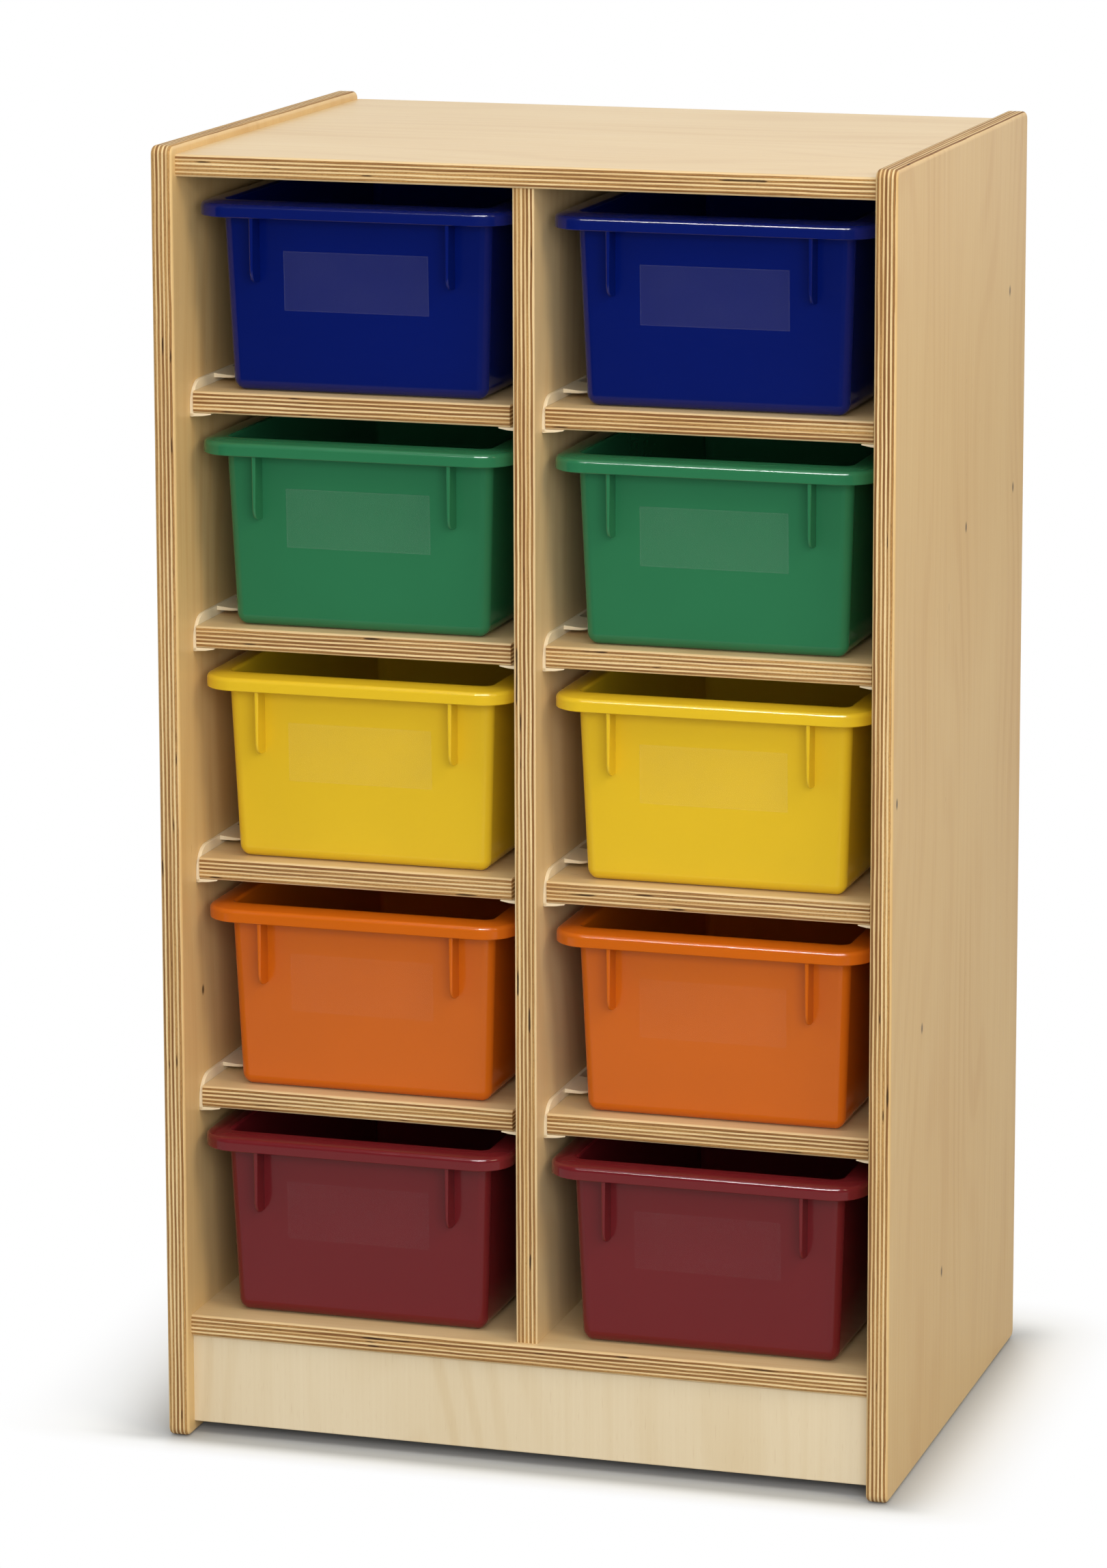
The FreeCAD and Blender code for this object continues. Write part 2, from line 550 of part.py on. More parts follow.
def ribs(body):
    """Two tapered ribs that brace the front of the rim, and two more at the rear.

    They run through the wall, and the cavity then trims them flush inside.
    """
    face = f"{RIM_LENGTH} / 2 - Sizes.rib_setback"
    head = f"{RIM_CEILING} + Sizes.rib_bite"
    foot = f"{TRAY_HEIGHT} - Sizes.rim_height - Sizes.rib_length"
    outline = new_sketch(body, "rib_outlines", "XZ_Plane", face)
    for hand in (-1, 1):
        middle = f"{hand} * Sizes.rib_spacing / 2"
        polygon(outline, ((f"{middle} - Sizes.rib_foot_width / 2", foot),
                          (f"{middle} + Sizes.rib_foot_width / 2", foot),
                          (f"{middle} + Sizes.rib_top_width / 2", head),
                          (f"{middle} - Sizes.rib_top_width / 2", head)))
    reach = ("Sizes.rim_overhang - Sizes.rib_setback"
             " + (Sizes.rim_height + Sizes.rib_length) * tan(Sizes.tray_draft) + Sizes.tray_wall / 2")
    pair = grow(body, "Pad", "front_ribs", outline, reach, reverse=True)
    repeat(body, "Mirrored", "rear_ribs", Originals=[pair],
           MirrorPlane=(origin_item(body, "XZ_Plane"), [""]))
    face_level = value(face)
    foot_level = value(foot)
    dress(body, "Chamfer", "rib_toes",
          lambda edge: lies_in(edge, "Z", foot_level)
          and (lies_in(edge, "Y", face_level) or lies_in(edge, "Y", -face_level)),
          Size="Sizes.rib_toe")


def label_pocket(label, **where):
    """Clear pocket lying on the drafted front of a tray."""
    body = new_body(label)
    outline = new_sketch(body, "outline", "XZ_Plane")
    rectangle(outline, "-Sizes.label_width / 2", "-Sizes.label_height / 2",
              "Sizes.label_width / 2", "Sizes.label_height / 2")
    grow(body, "Pad", "film", outline, "Sizes.label_thickness")
    place(body, **where)
    return body


def lean_on_tray(body):
    """Tip a label back by the draft of the tray's front."""
    body.Placement = Placement(body.Placement.Base, Rotation(Vector(1, 0, 0), value("Sizes.tray_draft")))
    body.setExpression("Placement.Rotation.Angle", "Sizes.tray_draft")


def tray_row(row):
    """Height of a tray's underside and the place of its middle, counted from the bottom row."""
    if row == 0:
        return BASE_TOP, f"{FRONT} + Sizes.base_tray_setback + {RIM_LENGTH} / 2"
    shelf_top = f"{row_height(row - 1)} + Sizes.panel_thickness"
    return shelf_top, f"{FRONT} + Sizes.tray_setback + {RIM_LENGTH} / 2"


side_panel("left_side_panel", -1)
side_panel("right_side_panel", 1)
level_panel("top_panel", TOP_UNDER, "lower")
level_panel("bottom_panel", "Sizes.base_height", "upper")
divider()
back_panel()
base_board("kick_panel", f"{FRONT} + Sizes.kick_setback")
base_board("rear_rail", f"{REAR} - Sizes.rail_inset - Sizes.panel_thickness")

first_of = {}


def make(kind, maker, label, **where):
    """The first piece of a kind is modelled, the others are cloned from it."""
    if kind not in first_of:
        first_of[kind] = maker(label, **where)
        return first_of[kind]
    return clone(first_of[kind], label, **where)


for column, hand in COLUMNS:
    column_x = f"{hand} * {COLUMN_X}"
    shelf_x = (f"{column_x} - {CUBBY_WIDTH} / 2 + Sizes.clip_thickness"
               f" + Sizes.shelf_end_gap + {SHELF_LENGTH} / 2")
    for shelf in range(SHELVES_PER_COLUMN):
        number = SHELVES_PER_COLUMN - shelf
        height = row_height(shelf)
        make("shelf", shelf_board, f"shelf_{column}_{number}", x=shelf_x, y=SHELF_Y, z=height)
        make("supports", support_set, f"shelf_supports_{column}_{number}", x=column_x, y=SHELF_Y, z=height)
    for row in range(ROWS):
        number = ROWS - row
        underside, middle = tray_row(row)
        make("tray", tray, f"tray_{column}_{number}", x=column_x, y=middle, z=underside)
        label_y = f"{middle} - {BODY_Y} + Sizes.label_drop * tan(Sizes.tray_draft)"
        label_z = f"{underside} + {TRAY_HEIGHT} - Sizes.label_drop"
        film = make("label", label_pocket, f"tray_label_{column}_{number}",
                    x=column_x, y=label_y, z=label_z)
        lean_on_tray(film)

doc.recompute()

for item in doc.Objects:
    if "Invalid" in item.State or "Error" in item.State:
        raise ValueError(f"{item.Label} failed: {item.State}")
    if item.TypeId == "Sketcher::SketchObject" and not item.FullyConstrained:
        raise ValueError(f"{item.Label} is not fully constrained")
for body in parts:
    if body.Shape.isNull() or not body.Shape.isValid():
        raise ValueError(f"{body.Label} has no valid shape")

os.makedirs("parts", exist_ok=True)
for body in parts:
    body.Shape.exportStep(f"parts/{body.Label}.step")
    print(body.Label, len(body.Shape.Solids), "solids", round(body.Shape.Volume / 1000, 1), "cm3")
print(len(parts), "pieces")
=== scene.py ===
# %% [markdown]
# # A cubby storage unit with moulded trays
# The cabinet is birch plywood: two sides, a top, a bottom, a divider and loose shelves that lie
# on small plastic supports. A moulded tray slides in each cubby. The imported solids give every
# place and size. This lesson dresses them: boards get round edges and real ply layers, trays get
# a swept rim, and each material gets the fine detail that shows under studio light.

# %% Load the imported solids
import math

import bmesh
import bpy
from mathutils import Matrix, Vector


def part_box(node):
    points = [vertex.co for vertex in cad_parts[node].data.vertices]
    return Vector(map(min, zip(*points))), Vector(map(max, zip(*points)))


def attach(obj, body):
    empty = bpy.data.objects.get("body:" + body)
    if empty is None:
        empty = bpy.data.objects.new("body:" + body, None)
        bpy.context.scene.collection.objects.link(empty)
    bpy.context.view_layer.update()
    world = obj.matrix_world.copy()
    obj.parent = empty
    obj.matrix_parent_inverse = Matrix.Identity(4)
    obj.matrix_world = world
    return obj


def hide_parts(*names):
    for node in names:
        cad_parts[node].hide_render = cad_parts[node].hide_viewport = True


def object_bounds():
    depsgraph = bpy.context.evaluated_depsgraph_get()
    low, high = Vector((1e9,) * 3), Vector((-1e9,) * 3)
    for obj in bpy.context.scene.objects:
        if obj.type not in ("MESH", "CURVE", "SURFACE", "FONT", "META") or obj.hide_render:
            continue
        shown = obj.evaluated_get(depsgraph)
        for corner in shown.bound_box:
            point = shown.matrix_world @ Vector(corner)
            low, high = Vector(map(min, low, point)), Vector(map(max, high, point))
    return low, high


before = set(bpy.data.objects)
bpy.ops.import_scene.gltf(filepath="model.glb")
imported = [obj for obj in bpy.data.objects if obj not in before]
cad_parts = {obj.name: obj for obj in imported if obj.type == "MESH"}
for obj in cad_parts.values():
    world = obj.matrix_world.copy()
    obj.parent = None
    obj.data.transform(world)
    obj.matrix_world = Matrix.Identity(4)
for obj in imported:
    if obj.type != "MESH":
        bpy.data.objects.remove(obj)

MM = 0.001
cad_low, cad_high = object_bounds()
print("cabinet", [round(size, 3) for size in cad_high - cad_low], "metres")

# %% [markdown]
# ## Small helpers for node trees
# Node trees read best when each node is one line of code. `feed` links a socket or sets its value,
# and `add_node` makes a node of any kind with its inputs fed by name. The others stand for sums
# that come up all the time. Colours are written as they look on a screen and turned into the
# linear values that the renderer works with.

# %% Colours, sockets and sums
def linear(red, green, blue):
    """A screen colour from 0 to 255 as a linear colour with full alpha."""
    shares = [part / 255 for part in (red, green, blue)]
    return (*(s / 12.92 if s <= 0.04045 else ((s + 0.055) / 1.055) ** 2.4 for s in shares), 1.0)


def grey(level):
    """A linear grey with full alpha."""
    return (level, level, level, 1.0)


def feed(tree, socket, given):
    """Link an output into a socket, or set the socket's own value."""
    if isinstance(given, bpy.types.NodeSocket):
        tree.links.new(given, socket)
    else:
        socket.default_value = given


def add_node(tree, kind, settings=None, **inputs):
    """The outputs of a new node with settings, and inputs fed by name with underscores for spaces."""
    made = tree.nodes.new(kind)
    for name, setting in (settings or {}).items():
        setattr(made, name, setting)
    for name, given in inputs.items():
        feed(tree, made.inputs[name.replace("_", " ")], given)
    return made.outputs


def calculate(tree, operation, *values):
    """One sum on numbers, named as a Math node names it."""
    made = tree.nodes.new("ShaderNodeMath")
    made.operation = operation
    for socket, given in zip(made.inputs, values):
        feed(tree, socket, given)
    return made.outputs[0]


def times(tree, first, second, plus=None):
    """A product, with something added to it if that is given."""
    if plus is None:
        return calculate(tree, "MULTIPLY", first, second)
    return calculate(tree, "MULTIPLY_ADD", first, second, plus)


def reckon(tree, operation, *vectors):
    """One sum on whole vectors; the length comes out as a number."""
    made = tree.nodes.new("ShaderNodeVectorMath")
    made.operation = operation
    for socket, given in zip(made.inputs, vectors):
        feed(tree, socket, given)
    return made.outputs["Value" if operation == "LENGTH" else "Vector"]


def split(tree, vector):
    """The X, Y and Z parts of a vector."""
    return add_node(tree, "ShaderNodeSeparateXYZ", Vector=vector)


print("half brightness on a screen is", round(linear(128, 128, 128)[0], 2), "in linear light")

# %% [markdown]
# ## Helpers for patterns
# Almost every natural pattern here is noise that has been stretched: much along the grain and little
# across it, or the other way. A soft step then cuts marks out of the noise, and the marks mix two
# colours.

# %% Noise, steps and mixes
NOISE_DETAIL, NOISE_ROUGHNESS = 2.0, 0.5


def noise(tree, vector, scale, detail=NOISE_DETAIL, roughness=NOISE_ROUGHNESS):
    return add_node(tree, "ShaderNodeTexNoise", Vector=vector, Scale=scale, Detail=detail,
                    Roughness=roughness)["Fac"]


def stretched_noise(tree, vector, waves, detail=NOISE_DETAIL, roughness=NOISE_ROUGHNESS):
    """Noise with its own number of waves per metre along each axis."""
    return noise(tree, reckon(tree, "MULTIPLY", vector, waves), 1.0, detail, roughness)


def between(tree, value, low, high):
    """0 below low, 1 above high and a soft step between them."""
    return add_node(tree, "ShaderNodeMapRange", {"interpolation_type": "SMOOTHSTEP"}, Value=value,
                    From_Min=low, From_Max=high)["Result"]


def mixed(tree, share, first, second, blend="MIX"):
    """Two colours mixed by a share from 0 to 1."""
    made = tree.nodes.new("ShaderNodeMix")
    made.data_type = "RGBA"
    made.blend_type = blend
    factor, colour_a, colour_b = made.inputs[0], made.inputs[6], made.inputs[7]
    for socket, given in ((factor, share), (colour_a, first), (colour_b, second)):
        feed(tree, socket, given)
    return made.outputs[2]


def bumped(tree, height, strength, distance):
    return add_node(tree, "ShaderNodeBump", Strength=strength, Distance=distance, Height=height)["Normal"]


print("noise has a detail of", NOISE_DETAIL, "unless a pattern says otherwise")

# %% [markdown]
# ## Helpers for groups and materials
# An effect that several materials share is a node group, with named sockets for what differs. The
# Principled shader itself stays in the material, so that the group only has to hand over colours
# and values.

# %% Groups and materials
def new_group(name, inputs, outputs, tree_kind="ShaderNodeTree"):
    """An empty node group with named sockets, and its inner input and output sockets."""
    group = bpy.data.node_groups.new(name, tree_kind)
    for socket_name, kind, *default in inputs:
        socket = group.interface.new_socket(socket_name, in_out="INPUT", socket_type=f"NodeSocket{kind}")
        if default:
            socket.default_value = default[0]
    for socket_name, kind in outputs:
        group.interface.new_socket(socket_name, in_out="OUTPUT", socket_type=f"NodeSocket{kind}")
    return group, group.nodes.new("NodeGroupInput").outputs, group.nodes.new("NodeGroupOutput").inputs


def use_group(tree, group, **values):
    """Place a group in a tree and set its inputs by name."""
    return add_node(tree, "ShaderNodeGroup", {"node_tree": group}, **values)


def new_material(name):
    """A material with a Principled shader, and its tree and that shader's inputs."""
    material = bpy.data.materials.new(name)
    material.use_nodes = True
    tree = material.node_tree
    return material, tree, tree.nodes["Principled BSDF"].inputs


def read_attribute(tree, name):
    """A vector that is stored on each point of the piece."""
    return add_node(tree, "ShaderNodeAttribute", {"attribute_name": name})["Vector"]


print("materials before the first one made here:", len(bpy.data.materials))

# %% [markdown]
# ## Birch veneer
# Birch is pale and quiet. Its grain is long faint streaks, with a slow wave across the sheet, fine
# short flecks, and now and then a pin knot. A picture could be wrapped round each board, but a
# formula needs no files and never repeats. Each board carries an attribute named board: metres
# along the grain, metres across it, and the share of the thickness from the middle ply. All the
# wood reads that, so the grain turns with each board and no two boards are alike. A second
# attribute named sheet says how pale the sheet is and what share of its cells holds a knot.

# %% Birch veneer group
DRIFT_WAVES, CLOUD_WAVES = (1.6, 6.5, 0.0), (4.0, 11.0, 0.0)
STREAK_WAVES, FLECK_WAVES = (5.0, 420.0, 0.0), (70.0, 900.0, 0.0)
KNOT_CELLS, KNOT_RADII = (6.0, 10.0, 0.0), (0.008, 0.03)
RINGS_PER_METRE, RING_DRIFT = 34.0, 11.0
RING_LIMITS, FADING_LIMITS, FLECK_LIMITS = (-0.3, 1.0), (0.3, 0.75), (0.62, 0.8)
GRAIN_LEAST, GRAIN_FADING, FLECK_DEPTH = 0.1, 0.6, 0.6
STREAK_SHARE, GRAIN_SHARE, CLOUD_SHARE, FLECK_SHARE, KNOT_SHARE = 0.4, 0.42, 0.6, 0.14, 0.9
FLECK_BROWN, KNOT_BROWN = linear(178, 138, 92), linear(66, 38, 16)
veneer_group, given, result = new_group(
    "Birch veneer",
    (("Board", "Vector"), ("Pale", "Color", linear(232, 212, 172)),
     ("Warm", "Color", linear(214, 184, 134)), ("Figure", "Float", 0.5),
     ("Knots", "Float", 0.0)),
    (("Color", "Color"), ("Height", "Float")))
tree, board = veneer_group, given["Board"]
drift = stretched_noise(tree, board, DRIFT_WAVES, detail=1.5)
rings = times(tree, split(tree, board)["Y"], RINGS_PER_METRE)
rings = times(tree, drift, RING_DRIFT, plus=rings)
lines = between(tree, calculate(tree, "SINE", times(tree, rings, 2 * math.pi)), *RING_LIMITS)
streaks = stretched_noise(tree, board, STREAK_WAVES, detail=3.0, roughness=0.6)
clouds = stretched_noise(tree, board, CLOUD_WAVES)
flecks = between(tree, stretched_noise(tree, board, FLECK_WAVES, detail=1.0), *FLECK_LIMITS)
fading = between(tree, clouds, *FADING_LIMITS)
grain = times(tree, lines, times(tree, fading, GRAIN_FADING, plus=GRAIN_LEAST))
share = times(tree, streaks, STREAK_SHARE, plus=times(tree, grain, GRAIN_SHARE))
share = times(tree, times(tree, clouds, CLOUD_SHARE, plus=share), given["Figure"])
wood = mixed(tree, share, given["Pale"], given["Warm"])
wood = mixed(tree, times(tree, flecks, FLECK_SHARE), wood, FLECK_BROWN)
cells = add_node(tree, "ShaderNodeTexVoronoi", {"voronoi_dimensions": "2D"}, Scale=1.0,
                 Vector=reckon(tree, "MULTIPLY", board, KNOT_CELLS))
holds_knot = calculate(tree, "LESS_THAN", split(tree, cells["Color"])["X"], given["Knots"])
knot = calculate(tree, "SUBTRACT", 1.0, between(tree, cells["Distance"], *KNOT_RADII))
wood = mixed(tree, times(tree, times(tree, knot, holds_knot), KNOT_SHARE), wood, KNOT_BROWN)
feed(tree, result["Color"], wood)
feed(tree, result["Height"], calculate(tree, "SUBTRACT", streaks, times(tree, flecks, FLECK_DEPTH)))
print("birch veneer:", len(tree.nodes), "nodes")

# %% [markdown]
# ## Ply edge
# Every edge shows eleven plies: pale ones whose grain runs along the edge, darker ones cut across
# their grain, and thin glue lines. The share of the thickness times eleven counts the plies, and
# its remainder places the glue lines. Each ply has its own tone, and fibres are drawn out along the
# edge, so each is streaked and none is one flat colour. Here and there a core ply has a gap, a hollow
# that is drawn as a short dash of painted shade with pointed ends and a slight dip in the bump. The
# outermost ply is the face veneer, so the group also says where that is. A rounded edge then cuts
# through the plies by itself, as a router does.

# %% Ply edge group
WOBBLE_WAVES, WOBBLE_PLIES = (22.0, 22.0, 3.0), 0.9
FIBRE_WAVES, PORE_WAVES = (16.0, 16.0, 60.0), (480.0, 480.0, 45.0)
LOT_WAVES, LOT_STEP, TONE_SCALE, FLAW_SCALE = 12.0, 3.7, 0.35, 2.6
LONG_LIMITS, SHORT_LIMITS, PORE_LIMITS = (0.85, 1.3), (0.75, 1.2), (0.46, 0.68)
GLUE_LIMITS, GLUE_TONES = (0.03, 0.15), (0.2, 0.75)
GAP_LIMITS, GAP_POINT, GAP_SHARE = (0.74, 0.775), 0.16, 0.85
LONG_SHARE, OPEN_CROSS, OPEN_LONG, PORE_HEIGHT = 0.75, 0.42, 0.14, 0.5
VENEER_PLIES, VENEER_BLUR = 0.8, 0.006
GLUE_BROWN, PORE_BROWN, GAP_PAINTED_SHADE = linear(112, 72, 36), linear(120, 84, 50), linear(48, 30, 16)
ply_group, given, result = new_group(
    "Ply edge",
    (("Board", "Vector"), ("Plies", "Float", 11.0),
     ("Pale", "Color", linear(232, 206, 156)), ("Gold", "Color", linear(194, 152, 92)),
     ("Dark", "Color", linear(128, 86, 46))),
    (("Color", "Color"), ("Height", "Float"), ("Face", "Float")))
tree, board = ply_group, given["Board"]
parts = split(tree, board)
wobble = calculate(tree, "SUBTRACT", stretched_noise(tree, board, WOBBLE_WAVES, detail=3.0), 0.5)
wobble = times(tree, wobble, WOBBLE_PLIES)
level = times(tree, calculate(tree, "ADD", parts["Z"], 0.5), given["Plies"], plus=wobble)
number = calculate(tree, "FLOOR", level)
from_glue = calculate(tree, "PINGPONG", calculate(tree, "FRACT", level), 0.5)
cross_cut = calculate(tree, "PINGPONG", number, 1.0)
lot = add_node(tree, "ShaderNodeCombineXYZ", X=times(tree, parts["X"], LOT_WAVES),
               Y=times(tree, parts["Y"], LOT_WAVES), Z=times(tree, number, LOT_STEP))["Vector"]
tone = noise(tree, lot, TONE_SCALE)
fibres = stretched_noise(tree, board, FIBRE_WAVES, detail=5.0, roughness=0.65)
pores = stretched_noise(tree, board, PORE_WAVES, detail=2.0, roughness=0.7)
aged = calculate(tree, "ADD", fibres, tone)
long_share = times(tree, between(tree, aged, *LONG_LIMITS), LONG_SHARE)
long_ply = mixed(tree, long_share, given["Pale"], given["Gold"])
short_ply = mixed(tree, between(tree, aged, *SHORT_LIMITS), given["Gold"], given["Dark"])
edge = mixed(tree, cross_cut, long_ply, short_ply)
glue = calculate(tree, "SUBTRACT", 1.0, between(tree, from_glue, *GLUE_LIMITS))
edge = mixed(tree, times(tree, glue, between(tree, tone, *GLUE_TONES)), edge, GLUE_BROWN)
open_grain = times(tree, cross_cut, OPEN_CROSS, plus=OPEN_LONG)
edge = mixed(tree, times(tree, between(tree, pores, *PORE_LIMITS), open_grain), edge, PORE_BROWN)
# Painted shade: gaps in the core plies are coloured dark, as their hollows look in shade.
flaws = times(tree, from_glue, GAP_POINT, plus=noise(tree, lot, FLAW_SCALE, detail=1.0))
gap = times(tree, between(tree, flaws, *GAP_LIMITS), cross_cut)
edge = mixed(tree, times(tree, gap, GAP_SHARE), edge, GAP_PAINTED_SHADE)
outer = calculate(tree, "SUBTRACT", 0.5, calculate(tree, "DIVIDE", VENEER_PLIES, given["Plies"]))
face = between(tree, calculate(tree, "ABSOLUTE", parts["Z"]), calculate(tree, "SUBTRACT", outer, VENEER_BLUR),
               calculate(tree, "ADD", outer, VENEER_BLUR))
feed(tree, result["Color"], edge)
feed(tree, result["Height"], calculate(tree, "SUBTRACT", times(tree, pores, PORE_HEIGHT), gap))
feed(tree, result["Face"], face)
print("ply edge:", len(tree.nodes), "nodes")

# %% [markdown]
# ## Lacquered birch plywood
# One material serves every board. It lays the veneer over the edge wherever the outermost ply
# shows. A clear satin lacquer lies over both: smooth on the faces, where the grain breaks up its
# gloss, and duller on the edges, which soak it up. The bump is very shallow, because the lacquer
# fills most of the pores.

# %% Birch plywood material
EDGE_ROUGHNESS, FACE_POLISH, GRAIN_ROUGHNESS = 0.6, 0.3, 0.16
LACQUER_SPECULAR, BUMP_DEPTH, BUMP_STRENGTH, VENEER_HEIGHT = 0.3, 0.4 * MM, 0.12, 0.5


def make_birch(name, pale, warm, figure):
    """Plywood whose veneer has a pale and a warm colour, each given for a dark and a light sheet."""
    material, tree, shader = new_material(name)
    board = read_attribute(tree, "board")
    sheet = split(tree, read_attribute(tree, "sheet"))
    veneer = use_group(tree, veneer_group, Board=board, Pale=mixed(tree, sheet["X"], *pale),
                       Warm=mixed(tree, sheet["X"], *warm), Figure=figure, Knots=sheet["Y"])
    plies = use_group(tree, ply_group, Board=board)
    feed(tree, shader["Base Color"], mixed(tree, plies["Face"], plies["Color"], veneer["Color"]))
    dull = times(tree, veneer["Height"], GRAIN_ROUGHNESS, plus=EDGE_ROUGHNESS)
    polish = times(tree, plies["Face"], FACE_POLISH)
    feed(tree, shader["Roughness"], calculate(tree, "SUBTRACT", dull, polish))
    height = calculate(tree, "ADD", times(tree, veneer["Height"], VENEER_HEIGHT), plies["Height"])
    feed(tree, shader["Normal"], bumped(tree, height, BUMP_STRENGTH, BUMP_DEPTH))
    shader["Specular IOR Level"].default_value = LACQUER_SPECULAR
    return material


birch = make_birch("birch_plywood", pale=(linear(229, 201, 146), linear(232, 220, 193)),
                   warm=(linear(200, 156, 96), linear(208, 185, 142)), figure=0.65)
print("made", birch.name)

# %% [markdown]
# ## Boards
# A board is a box whose edges have been routed. A Bevel modifier could do that, but the real edges
# differ: sides are rounded all the way round, shelves only in front. So each board is a bmesh box,
# and the edges that a router would follow are picked by where they lie.

# %% Boxes and routed edges
X, Y, Z = range(3)
ROUND_STEPS = 5
TOUCHING = 1e-6


def new_box(low, high):
    """A bmesh box between two corners."""
    mesh = bmesh.new()
    bmesh.ops.create_cube(mesh, size=1.0)
    for vertex in mesh.verts:
        vertex.co = Vector(low[a] if vertex.co[a] < 0 else high[a] for a in range(3))
    return mesh


def edges_in_plane(mesh, axis, place):
    """Edges of a bmesh that lie wholly in a plane across an axis."""
    return [edge for edge in mesh.edges if all(abs(v.co[axis] - place) < TOUCHING for v in edge.verts)]


def edges_along(edges, axis):
    """Those of some edges that run along an axis."""
    return [edge for edge in edges
            if all(abs(edge.verts[0].co[a] - edge.verts[1].co[a]) < TOUCHING for a in range(3) if a != axis)]


def round_over(mesh, edges, radius, steps=ROUND_STEPS):
    bmesh.ops.bevel(mesh, geom=edges, offset=radius, offset_type="OFFSET", segments=steps, profile=0.5,
                    affect="EDGES", clamp_overlap=True)


print("round edges have", ROUND_STEPS, "steps unless a board says otherwise")

# %% [markdown]
# ## From mesh to piece
# Every piece is shaded smooth, with its corners kept sharp. Weighted normals keep flat faces flat
# beside their round edges. Modifiers are made plain at once, so that what is exported is what shows.

# %% Pieces
SHARP_DEGREES = 38


def new_object(name, data):
    """An object in the scene for a mesh, a light or a camera."""
    made = bpy.data.objects.new(name, data)
    bpy.context.scene.collection.objects.link(made)
    return made


def new_piece(name, mesh, material):
    """Turn a bmesh into an object at the origin with smooth faces and sharp corners."""
    bmesh.ops.recalc_face_normals(mesh, faces=mesh.faces)
    data = bpy.data.meshes.new(name)
    mesh.to_mesh(data)
    mesh.free()
    data.shade_smooth()
    data.set_sharp_from_angle(angle=math.radians(SHARP_DEGREES))
    data.materials.append(material)
    return new_object(name, data)


def make_plain(piece):
    """Bake an object's modifiers into its own mesh and remove them."""
    graph = bpy.context.evaluated_depsgraph_get()
    data = bpy.data.meshes.new_from_object(piece.evaluated_get(graph), preserve_all_data_layers=True,
                                           depsgraph=graph)
    piece.modifiers.clear()
    data.name = piece.name
    piece.data = data


def weigh_normals(piece):
    """Let large faces keep their own normals beside small round ones."""
    weights = piece.modifiers.new("flat_faces", "WEIGHTED_NORMAL")
    weights.keep_sharp = True
    make_plain(piece)


print("corners of more than", SHARP_DEGREES, "degrees stay sharp")

# %% [markdown]
# ## From piece to board
# A board also stores its grain. Each one is cut from its own place on one endless sheet, so a
# running number moves it along and across that sheet.

# %% Finish a board
SHEET_STEP = (1.7, 0.61)
# The darkest sheet goes on the sides as painted shade.
SHADED_SIDE_SHEET, PLAIN_SHEET, PALE_SHEET = 0.0, 0.3, 1.0
boards = []


def add_board(node, mesh, low, high, through, along, tone=PLAIN_SHEET, knots=0.0):
    """Finish a board: weigh its normals, store its grain and sheet, and let it stand for its node."""
    piece = new_piece(f"{node}_dressed", mesh, birch)
    weigh_normals(piece)
    boards.append(piece)
    across = X + Y + Z - through - along
    middle, thickness = (low[through] + high[through]) / 2, high[through] - low[through]
    start_along, start_across = (step * len(boards) for step in SHEET_STEP)
    grain = piece.data.attributes.new("board", "FLOAT_VECTOR", "POINT")
    for vertex, stored in zip(piece.data.vertices, grain.data):
        stored.vector = (vertex.co[along] + start_along, vertex.co[across] + start_across,
                         (vertex.co[through] - middle) / thickness)
    sheet = piece.data.attributes.new("sheet", "FLOAT_VECTOR", "POINT")
    sheet.data.foreach_set("vector", (tone, knots, 0.0) * len(piece.data.vertices))
    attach(piece, "cabinet")
    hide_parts(node)


print("each board starts", *SHEET_STEP, "metres further along and across the sheet")

# %% [markdown]
# ## Side panels
# The sides are the most handled boards: their four corners are cut to a small radius and both
# rims of the outline are rounded over. First the corners, then the two outlines that the corners
# have made. Both sides are cut from the darkest, warmest sheet, as painted shade for the dimmer,
# warmer light that falls on them. The left sheet is the cleaner one, because its inner face shows.

# %% Sides
SIDE_CORNER, SIDE_CORNER_STEPS = 6.0 * MM, 8
SIDE_ROUND = 3.0 * MM
SIDE_KNOTS = {"left_side_panel": 0.06, "right_side_panel": 0.25}
for name, knots in SIDE_KNOTS.items():
    low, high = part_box(name)
    side = new_box(low, high)
    round_over(side, edges_along(side.edges, X), SIDE_CORNER, SIDE_CORNER_STEPS)
    round_over(side, edges_in_plane(side, X, low.x) + edges_in_plane(side, X, high.x), SIDE_ROUND)
    # Painted shade: the sides get the darkest, warmest sheet.
    add_board(name, side, low, high, through=X, along=Z, tone=SHADED_SIDE_SHEET, knots=knots)
    print(name, round((high.x - low.x) / MM, 1), "mm thick")

# %% [markdown]
# ## Top, bottom, divider, base and back
# These boards end at the sides' inner faces. Their tongues are hidden in the joints, so the dressed
# boards leave them out and keep only what shows. The top and the bottom are rounded over in front,
# and the divider is just eased. The kick panel and the rear rail are cut from the palest sheet.

# %% Fixed boards
FRONT_ROUND = 2.5 * MM
EASED, EASED_STEPS = 1.0 * MM, 3
inner_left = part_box("left_side_panel")[1].x
inner_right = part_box("right_side_panel")[0].x
top_under, base_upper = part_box("top_panel")[0].z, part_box("bottom_panel")[1].z
back_low, back_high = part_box("back_panel")
divider_low, divider_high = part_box("center_divider")
for name in ("top_panel", "bottom_panel"):
    low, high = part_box(name)
    low.x, high.x = inner_left, inner_right
    panel = new_box(low, high)
    round_over(panel, edges_along(edges_in_plane(panel, Y, low.y), X), FRONT_ROUND)
    add_board(name, panel, low, high, through=Z, along=X)

low = Vector((divider_low.x, divider_low.y, base_upper))
high = Vector((divider_high.x, back_low.y, top_under))
upright = new_box(low, high)
round_over(upright, edges_along(edges_in_plane(upright, Y, low.y), Z), EASED, EASED_STEPS)
add_board("center_divider", upright, low, high, through=X, along=Z)

